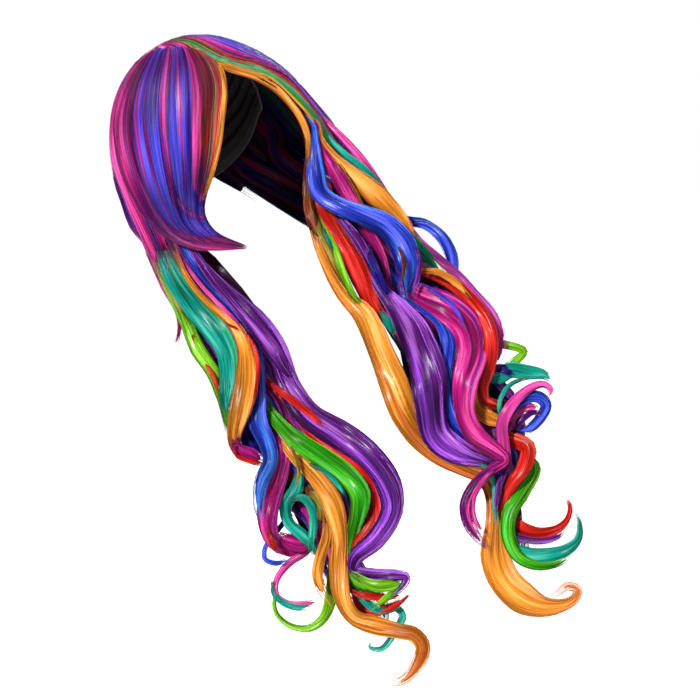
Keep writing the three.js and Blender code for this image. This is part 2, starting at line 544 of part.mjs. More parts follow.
function bangSolid(grow) {
  const columns = 8;
  const bands = 14;
  const curve = (edge) => new THREE.SplineCurve(edge.map((p) => new THREE.Vector2(p.across, p.height)));
  const [outerEdge, innerEdge] = [curve(BANG_OUTER), curve(BANG_INNER)];
  const surface = Array.from({ length: bands + 1 }, (_, r) => {
    const [from, to] = [outerEdge.getPoint(r / bands), innerEdge.getPoint(r / bands)];
    const aside = to.clone().sub(from).setLength(grow);
    const along = outerEdge.getTangent(r / bands).setLength(r === 0 ? -grow : r === bands ? grow : 0);
    from.sub(aside).add(along);
    to.add(aside).add(along);
    return Array.from({ length: columns + 1 }, (_, c) => {
      const flat = from.clone().lerp(to, c / columns);
      const arch = BANG_ARCH * (1 - THREE.MathUtils.smoothstep(r / bands, 0, 0.3));
      return laidOnDome(flat.x, flat.y + arch * Math.sin((Math.PI * c) / columns));
    });
  });
  const inward = (p) => new THREE.Vector3(-p.x, -p.y, -Math.max(0, p.z - CROWN_HEM)).normalize();
  const grid = (depthAt) =>
    surface.map((row, r) => row.map((p, c) => p.clone().addScaledVector(inward(p), depthAt(r, c))));
  const depthAt = (r, c) => {
    const middle = Math.sin((Math.PI * c) / columns) * Math.min(1, (bands - r) / 4);
    return mix(BANG_EDGE, BANG_THICKNESS, middle);
  };
  const outer = grid((r, c) => ridge(c) / 2 - BANG_RISE - grow);
  const inner = grid((r, c) => depthAt(r, c) + grow);
  return solid(wallGeometry(outer, inner, false));
}

// The locks

/** The places along a path that are far enough, or turned enough, from the one before. */
function sectionPlaces(path) {
  const fine = Math.ceil(path.getLength() / 2);
  const places = [0];
  let [length, bend] = [0, 0];
  for (let i = 1; i < fine; i++) {
    const [before, here] = [path.getPoint((i - 1) / fine), path.getPoint(i / fine)];
    length += before.distanceTo(here);
    bend += path.getTangent((i - 1) / fine).angleTo(path.getTangent(i / fine));
    if (length < LOCK_STEP && bend < radians(LOCK_BEND)) continue;
    places.push(i / fine);
    [length, bend] = [0, 0];
  }
  return [...places, 1];
}

// Half of the width and half of the thickness at each corner of a section
const LENS = [[1, 0], [0.5, 1], [-0.5, 1], [-1, 0], [-0.5, -1], [0.5, -1]];
const FINE_LENS = [[1, 0], [0, 1], [-1, 0], [0, -1]];

/** A lock swept along its bends with a lens-shaped section. */
function lockSolid({ thickness, bends }, grow) {
  const path = new THREE.CatmullRomCurve3(bends.map(([s, z, f]) => placed(s, z, f)));
  const lens = thickness > FINE_LOCK ? LENS : FINE_LENS;
  const places = sectionPlaces(path);
  const steps = places.length - 1;
  const columnAt = (t, column) => {
    const place = t * (bends.length - 1);
    const low = Math.min(Math.floor(place), bends.length - 2);
    return mix(bends[low][column] ?? 0, bends[low + 1][column] ?? 0, place - low);
  };
  const rings = places.map((t, i) => {
    const tangent = path.getTangent(t);
    const facing = VIEW_FORWARD.clone().applyAxisAngle(UP, radians(columnAt(t, 4)));
    const wide = new THREE.Vector3().crossVectors(tangent, facing).normalize();
    const thin = new THREE.Vector3().crossVectors(wide, tangent).normalize();
    const fullness = mix(mix(ROOT_SHARE, TIP_SHARE, t), 1, Math.sin(Math.PI * t) ** 0.5);
    const centre = path.getPoint(t);
    if (i === 0) centre.addScaledVector(tangent, -grow);
    if (i === steps) centre.addScaledVector(tangent, grow);
    const [w, h] = [columnAt(t, 3) / 2 + grow, (thickness * fullness) / 2 + grow];
    return lens.map(([a, b]) => centre.clone().addScaledVector(wide, a * w).addScaledVector(thin, b * h));
  });
  const sides = lens.length;
  const positions = rings.flat().flatMap((p) => [p.x, p.y, p.z]);
  const index = [];
  for (let i = 0; i < steps; i++) {
    for (let k = 0; k < sides; k++) {
      const [a, b] = [i * sides + k, i * sides + ((k + 1) % sides)];
      index.push(a, b, b + sides, a, b + sides, a + sides);
    }
  }
  const end = steps * sides;
  for (let k = 1; k < sides - 1; k++) {
    index.push(0, k + 1, k);
    index.push(end, end + k, end + k + 1);
  }
  const geometry = new THREE.BufferGeometry();
  geometry.setAttribute("position", new THREE.Float32BufferAttribute(positions, 3));
  geometry.setIndex(index);
  return solid(geometry);
}

// The assembly: each piece leaves room for those in front of it

const wig = new THREE.Group();
wig.add(meshOf("cap", "cap", capSolid()));
wig.add(meshOf("bang", "violet", bangSolid(0)));

const rooms = [bangSolid(GAP)];
for (const lock of LOCKS) {
  wig.add(meshOf(lock.name, lock.colour, clearOf(lockSolid(lock, 0), rooms)));
  rooms.push(lockSolid(lock, GAP));
}

wig.add(meshOf("crown_hair", "magenta", clearOf(crownSolid(), rooms)));
for (const panel of HAIR_PANELS) {
  wig.add(meshOf(panel.name, "violet", clearOf(panelSolid(panel), rooms)));
}

export default wig;
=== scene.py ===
"""A long wavy wig in rainbow colours, dressed strand by strand over its solids.

Metres, +Z up, the wig faces -Y, and the origin is the top of the inside of its cap.
The sizes below are in millimetres and degrees, as in the part's source.
"""

import math

import bmesh
import bpy
import numpy as np
from mathutils import Matrix, Vector


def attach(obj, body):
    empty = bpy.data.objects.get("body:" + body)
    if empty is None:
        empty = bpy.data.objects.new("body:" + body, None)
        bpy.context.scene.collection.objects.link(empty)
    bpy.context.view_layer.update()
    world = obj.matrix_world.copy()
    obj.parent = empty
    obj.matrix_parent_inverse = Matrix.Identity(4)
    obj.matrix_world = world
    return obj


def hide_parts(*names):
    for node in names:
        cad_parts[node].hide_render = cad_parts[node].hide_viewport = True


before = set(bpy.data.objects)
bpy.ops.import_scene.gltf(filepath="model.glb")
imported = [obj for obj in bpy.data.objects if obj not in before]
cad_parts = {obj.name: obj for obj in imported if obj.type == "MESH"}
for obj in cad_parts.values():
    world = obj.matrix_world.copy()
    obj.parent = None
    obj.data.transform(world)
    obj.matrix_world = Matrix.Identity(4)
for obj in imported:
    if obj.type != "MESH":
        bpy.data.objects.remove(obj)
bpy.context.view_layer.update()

MM = 0.001

# How the wig is seen: the locks are drawn on a plane in front of its axis, and moved along the
# line of sight to their depth
VIEW_TURN = -17.0
VIEW_ROLL = 28.5
VIEW_DISTANCE = 2200.0
VIEW_CENTRE = (23.9, -435.0)
DRAWING_DEPTH = 40.0
FRAME_WIDTH = 882.0
SENSOR_WIDTH = 36.0

# Strands: how thick they are and how far apart, how far they wander aside and lift off their
# lock, how far the loosest of them stray, and how often they wave from root to tip
STRAND_RADIUS = 0.28
STRAND_SIDES = 3
STRAND_GAP = 0.9
LEAST_STRANDS = 20  # how many a lock has at least
STRAND_POINTS = 3  # points along a strand from one bend of its lock to the next
WANDER = 3.0
LIFT = 0.9
STRAY = 12.0
WAVES = 4.0
TAPER_LENGTH = 1 / 6  # the last share of a strand, in which it thins out
TAPER_END = 0.3  # the share of its thickness that is left at the tip

# The share of a lock's length over which its strands begin and over which they end, which on a
# long lock is this many millimetres
ROOT_SPREAD = 0.04
TIP_SPREAD = 0.14
TIP_FRAY = 26.0

# The solid middle under the strands: the share of a lock's length where it ends, how far short of
# the tip that is on a long lock, over what share of its own length it swells at the root and thins
# out at the tip, each with the share of its girth there, and how round it does so
HEART_END = 0.93
HEART_SHORT = 24.0
HEART_ROOT = (0.08, 0.15)
HEART_TIP = (0.16, 0.05)
HEART_ROUNDING = 0.6

# The plain hair behind the front locks: how much farther apart its strands lie, and how much
# less they stray
BACKING_GAP = 1.5
BACKING_STRAY = 0.3

# Random draws: the seed of the first piece of each kind, and the step to the next piece
LOCK_SEED = 100
SHEET_SEED = 2000
BANG_SEED = 3000
SELVEDGE_SEED = 3100
ACCENT_SEED = 5000
SEED_STEP = 20

# Light: how bright the studio is all round and how bright the floor looks, how high that lies and
# how wide it is, and for each lamp where it stands across, in front and above, how strong it is
# and how wide
AMBIENT = 0.2
FLOOR_GLOW = 0.9
FLOOR_HEIGHT = -900.0
FLOOR_SIZE = 40000.0
LAMPS = (("key", -0.4, 1.4, 0.9, 4.0, 7), ("fill", 1.4, 0.7, 0.5, 0.6, 40),
         ("back", 0.7, -1.2, 0.8, 1.2, 40))

# Sections of the outside of the hair: height, half width, reach in front of and behind its
# middle, and how far that lies to the right of the wig's axis
HAIR_DOME = np.array([
    (12, 0, 0, 0, -10), (9.5, 31, 38, 42, -9), (1, 52, 63, 70, -8), (-12, 72, 84, 92, -7),
    (-30, 91, 97, 106, -6), (-50, 107, 105, 115, -4), (-90, 127, 111, 122, -2.5),
    (-140, 137, 111, 120, -2), (-190, 143, 107, 112, 0), (-240, 148, 100, 100, 0),
    (-270, 150, 96, 94, 0), (-300, 151, 92, 88, 0)], float)
CROWN_HEM = -50.0  # above this height the dome closes in over the cap
CROWN_SUNK = 8.0  # how far its inside is let down at the top
SIDE_THICKNESS = 12.0
HEM_THICKNESS = 0.3  # the share of the thickness that is left at a hem
DOME_FOLD = 2.6  # depth of the folds down the dome, and the degrees between them
DOME_FOLD_STEP = 18.0
DOME_FOLD_WIDTH = 60.0  # half width of the dome where the folds have their whole depth

# A ragged hem: how far strands hang below it and how far that varies, as shares of what is given
# for the sheet, and the waves it varies in: how many there are, how strong and where they begin
HEM_DROP = 0.9
HEM_RAGGED = 0.22
HEM_WAVES = ((4, 1.0, 1.0), (9.3, 0.7, 0.0))

# The right side hair is drawn together towards its front edge, less and less between two heights
FRONT_CROWDING = 0.5
FRONT_CROWDED = (-100, -30)

# The inside of the cap: its sizes at the widest section, how high that lies and how far the cap
# draws in for each millimetre below it, and its hem, in degrees round from the front and height
CAP_WALL = 1.6
CAP_HALF_WIDTH = 75.0
CAP_FRONT = 93.0
CAP_BACK = 97.0
CAP_WIDEST = -90.0
NAPE_SLOPE = 0.22
CAP_HEM = [(-45, -58), (0, -42), (45, -58), (75, -112), (95, -116), (130, -138), (180, -152),
           (230, -138)]
CAP_BINDING = 0.93  # the share of the way down where the binding of the hem begins
BINDING_EDGE = 0.012  # and over what share it rises
BINDING_WALL = 0.8  # what it adds to the wall
CAP_SEAMS = 11  # rows that the hair is sewn on in
SEAM_HEIGHT = 0.6
SEAM_RISE = (0.5, 0.85)  # between which shares of a wave a seam rises
CAP_ROUNDNESS = 0.65  # how far its rows lie closer together near the top

# How far round from the front the right side hair begins: height and degrees
FRONT_EDGE = np.array([
    (15, 0), (-12, 6), (-50, 8), (-75, 21), (-95, 31), (-120, 39), (-150, 44), (-185, 43),
    (-240, 34)], float)

# How far the back hair parts at the nape to either side: height and degrees from the middle
NAPE_PARTING = np.array([(15, 0), (-110, 0), (-150, 5), (-190, 14), (-240, 22)], float)

# The sheets of hair that fall from the crown: the nodes that each stands for, the turns between
# which it lies, its hem along them and how far strands hang below it, how far from the root they
# are darkened with painted shade, how many there are, and their colours, each with the share
# across where it begins
DOME_SHEETS = [
    (["side_hair_right"], ("front edge", 100), (-212, -240, -252), 26, 95, 460, [
        (0.0, "dark"), (0.05, "orange"), (0.10, "green"), (0.15, "teal"), (0.19, "green"),
        (0.235, "brown"), (0.25, "red"), (0.31, "violet"), (0.36, "magenta"), (0.42, "iris"),
        (0.47, "pink"), (0.50, "iris"), (0.58, "blue"), (0.62, "indigo"), (0.68, "violet"),
        (0.76, "magenta"), (0.85, "indigo"), (0.92, "iris")]),
    (["back_hair_right"], (100, "nape right"), (-236, -232, -214, -190), 14, 95, 420, [
        (0.0, "iris"), (0.10, "teal"), (0.20, "indigo"), (0.34, "magenta"), (0.48, "violet"),
        (0.60, "orange"), (0.68, "red"), (0.78, "magenta"), (0.92, "indigo")]),
    (["back_hair_left"], ("nape left", 260), (-190, -214, -232, -238), 14, 95, 420, [
        (0.0, "indigo"), (0.08, "blue"), (0.20, "violet"), (0.32, "pink"), (0.44, "lime"),
        (0.52, "teal"), (0.62, "indigo"), (0.74, "violet"), (0.86, "magenta")]),
    (["crown_hair"], (312, "parting"), (-46, -46, -40, -32), 8, 30, 240, [
        (0.0, "magenta"), (0.14, "violet"), (0.22, "pink"), (0.32, "magenta"), (0.48, "violet"),
        (0.56, "pink"), (0.68, "magenta"), (0.84, "violet"), (0.92, "magenta")]),
    (["side_hair_left"], (260, 316), (-250, -248, -242, -232, -224), 26, 95, 340, [
        (0.0, "magenta"), (0.16, "violet"), (0.20, "pink"), (0.34, "magenta"), (0.48, "indigo"),
        (0.54, "magenta"), (0.66, "violet"), (0.74, "pink"), (0.82, "indigo"), (0.88, "violet")]),
]

# The strands of the sheets: the points along each, how far they wander, as a share of the way
# round a sheet, and the shares of the length over which they begin and end
SHEET_POINTS = 22
SHEET_WANDER = 0.012
SHEET_ROOTS = 0.16
SHEET_TIPS = 0.2
SHEET_LENGTH = 180  # about how long a sheet is, to stop its solid middle short of the hanging tips

# The bang: its two edges from the parting to the tip, across and height as drawn, and the
# colours from the outer edge to the inner one
BANG_INNER = [(36, -17), (43, -30), (48, -47), (46, -68), (25, -102), (-2, -140), (-32, -172),
              (-54, -198), (-54, -226), (-27, -261)]
BANG_OUTER = [(-14, 8), (-36, 1), (-66, -14), (-98, -48), (-115, -92), (-121, -138),
              (-117, -184), (-101, -216), (-74, -241), (-29, -264)]
BANG_BANDS = [
    (0.0, "pink"), (0.04, "magenta"), (0.08, "violet"), (0.11, "magenta"), (0.14, "violet"),
    (0.18, "iris"), (0.25, "royal"), (0.38, "iris"), (0.43, "pink"), (0.465, "violet"),
    (0.49, "royal"), (0.60, "iris"), (0.665, "indigo"), (0.68, "iris"), (0.705, "pink"),
    (0.76, "magenta"), (0.785, "red"), (0.80, "brown"), (0.845, "red"), (0.87, "brown"),
    (0.90, "olive"), (0.915, "brown"), (0.935, "red"), (0.95, "brown"), (0.965, "orange")]
BANG_RUN_OFF = 0.85  # the share of the colours that runs off the inner edge above the tip
BANG_RUNNING = (0.6, 0.92)  # between which shares of the way down they do

# The strand along the bang's inner edge: across, height and width, and how far it stands off
BANG_SELVEDGE = [(46, -42, 2), (49, -52, 5), (46, -66, 6), (39, -82, 6), (30, -96, 6),
                 (20, -110, 5), (7, -129, 5), (-13, -152, 5), (-34, -173, 4), (-48, -186, 2)]
SELVEDGE_RISE = 2
SELVEDGE_THICKNESS = 5
SELVEDGE_STRANDS = 30

# The bang's sizes
BANG_THICKNESS = 9.0
BANG_EDGE = 3.0  # its thickness along its edges
BANG_RISE = 2.0  # how far it stands off the dome
BANG_TAPER = 0.3  # the last share of the way down, where it thins out to its edges
BANG_ROOT = 2.5  # how deep it begins under the parting
BANG_ROOT_END = 0.07  # the share of the way down where it has come up
BANG_ARCH = 6.0  # how far the parting arches over its straight line
BANG_ARCH_END = 0.3  # the share of the way down where the arch is lost
BANG_FOLD = 1.4  # depth of the folds down the bang
BANG_FOLDS = 6
BANG_FOLD_DRIFT = 2.0  # how far they drift aside on the way down, in radians of a fold
BANG_FOLD_START = 0.25  # the share of the way down where they have their whole depth
BANG_STRANDS = 460
BANG_POINTS = 28  # points along each strand
BANG_ENDS = 0.06  # the share of the length over which the strands begin, and over which they end
BANG_HEART_END = 0.96
BANG_SHADE = 140.0  # how far from the parting its colours are darkened with painted shade, and where painted shade darkens them again above the tip

# The colours across the plain hair behind the front locks
BACKING_BANDS = [
    (0.0, "indigo"), (0.12, "violet"), (0.26, "magenta"), (0.36, "indigo"), (0.48, "blue"),
    (0.58, "violet"), (0.68, "red"), (0.76, "magenta"), (0.88, "indigo")]

# Fibre colours: the fibre's own, how dark the strands in painted shade are, how many times brighter
# the palest are with their painted highlight and how white, the colour of the odd strand and how
# many of those there are
FIBRES = {
    "dark": ("2c0820", 0.75, 1.7, 0.02, "3a0a48", 0.14),
    "brown": ("6e2410", 0.7, 1.7, 0.05, "a0641c", 0.2),
    "olive": ("8a7a1c", 0.65, 1.7, 0.08, "b03a10", 0.2),
    "magenta": ("b81476", 0.7, 1.8, 0.08, "6a1078", 0.14),
    "pink": ("d83c98", 0.6, 1.7, 0.11, "a02c9c", 0.14),
    "violet": ("58146e", 0.75, 3.0, 0.09, "8a3cc0", 0.16),
    "indigo": ("240c80", 0.7, 1.7, 0.05, "103a78", 0.14),
    "iris": ("4a30c8", 0.7, 1.6, 0.08, "7a2ab8", 0.15),
    "royal": ("544ee0", 0.65, 1.5, 0.08, "3a2cc0", 0.15),
    "blue": ("2036b8", 0.7, 1.8, 0.10, "4486f0", 0.18),
    "teal": ("059a88", 0.55, 1.6, 0.08, "0a8a3c", 0.14),
    "green": ("289e0c", 0.65, 1.6, 0.06, "80b810", 0.16),
    "lime": ("78bc10", 0.6, 1.6, 0.08, "3a9410", 0.15),
    "orange": ("e08c28", 0.55, 1.7, 0.10, "cc661e", 0.14),
    "red": ("c81810", 0.5, 1.6, 0.05, "d8501a", 0.15),
}

# Streaks along the fibres: how wide and how long they are and how fine their detail, and what
# the draw for each fibre and the broad, narrow and finest streaks add to its tone, which varies at
# random and sets its painted shade and painted highlight
BROAD_STREAKS = (9.0, 130.0, 0.0)
NARROW_STREAKS = (3.0, 90.0, 1.0)
GRAIN = (0.5, 45.0, 1.0)
TONE_WEIGHTS = (0.25, 0.5, 0.6, 0.15)
TONE_REACH = 0.16  # how far from the middle the tone is darkest, in painted shade, and palest, in a painted highlight
DARK_ROUGHNESS = 0.32
PALE_ROUGHNESS = 0.2
SHEEN = 0.16
GRAIN_DEPTH = 0.0004  # in metres, as the shader takes it
GRAIN_STRENGTH = 0.25

# Tufts of the odd colour: their streaks, how much lower the noise may be for each share of odd
# strands and where it begins with none, how soft a tuft's edge is and how strong it is
TUFTS = (4.0, 240.0, 0.0)
TUFT_LEAST = (-0.6, 0.70)
TUFT_EDGE = 0.04
TUFT_STRENGTH = 0.85
TINT_SHUFFLE = 7.13

# What fibres are darkened with as painted shade: among others, under others, on the inside of the
# hair, and the white that the palest are mixed with as a painted highlight
IN_SHADE = (0.05, 0.03, 0.08, 1.0)
DEEP_SHADE = (0.1, 0.1, 0.1, 1.0)
IN_HOLLOW = (0.03, 0.02, 0.04, 1.0)
INSIDE_SHADE = 0.8
HIGHLIGHT_WHITE = (1.0, 0.95, 0.95, 1.0)

# Colours of the painted shade that the colours run into near their roots, and above the tip of
# the bang, and how far
ROOT_SHADE = "701458"
TIP_SHADE = "1c0c68"
SHADE_COLOUR = 0.45

# Near the root, where painted shade darkens the fibres: how far a lock is dark, the share of that
# where the dark begins to fade and the shares between which the dullness does, the lengths
# between which the dark sets in after the parting, and how much of it there is before
LOCK_ROOT = 14.0
BACKING_ROOT = 95.0
ROOT_FADE = 0.35
DULL_SHARES = (0.7, 1.5)
PARTING_LENGTHS = (4.0, 28.0)
PARTING_SHARE = 0.35
ROOT_DEPTH = 0.92  # how dark the painted shade at the roots is
BANG_ROOT_DEPTH = 0.7
SHEET_DULLNESS = 0.36  # what is added to the roughness at the roots
BANG_DULLNESS = 0.08

# A tip darkened with painted shade: how far after its beginning it is darkest, begins to fade and
# has faded, and how dark it is at most and how much of that is left
TIP_LENGTHS = (50.0, 85.0, 125.0)
TIP_DARKEST = 0.7
TIP_LEFT = 0.3
NO_DARK_TIP = 9999.0

# A row as in the table of fibre colours, for fibres that take their colours from bands
BANDED_FIBRE = (None, 0.7, 1.6, 0.08, "b81478", 0.0)
BAND_STIR = 0.05  # how far the bands run into each other

# The net of the cap: between its threads and on them, its seams, and the binding in its grooves
# and on its ribs
NET_GAP = (0.010, 0.008, 0.010, 1.0)
NET_THREAD = (0.10, 0.08, 0.09, 1.0)
NET_SEAM = (0.012, 0.004, 0.010, 1.0)
BINDING_GROOVE = (0.05, 0.045, 0.05, 1.0)
BINDING_RIB = (0.16, 0.14, 0.15, 1.0)
NET_SCALE = 260.0
NET_UNEVENNESS = 0.4
NET_DEPTH = 0.0004  # in metres, as the shader takes it
NET_STRENGTH = 0.6
NET_ROUGHNESS = 0.7

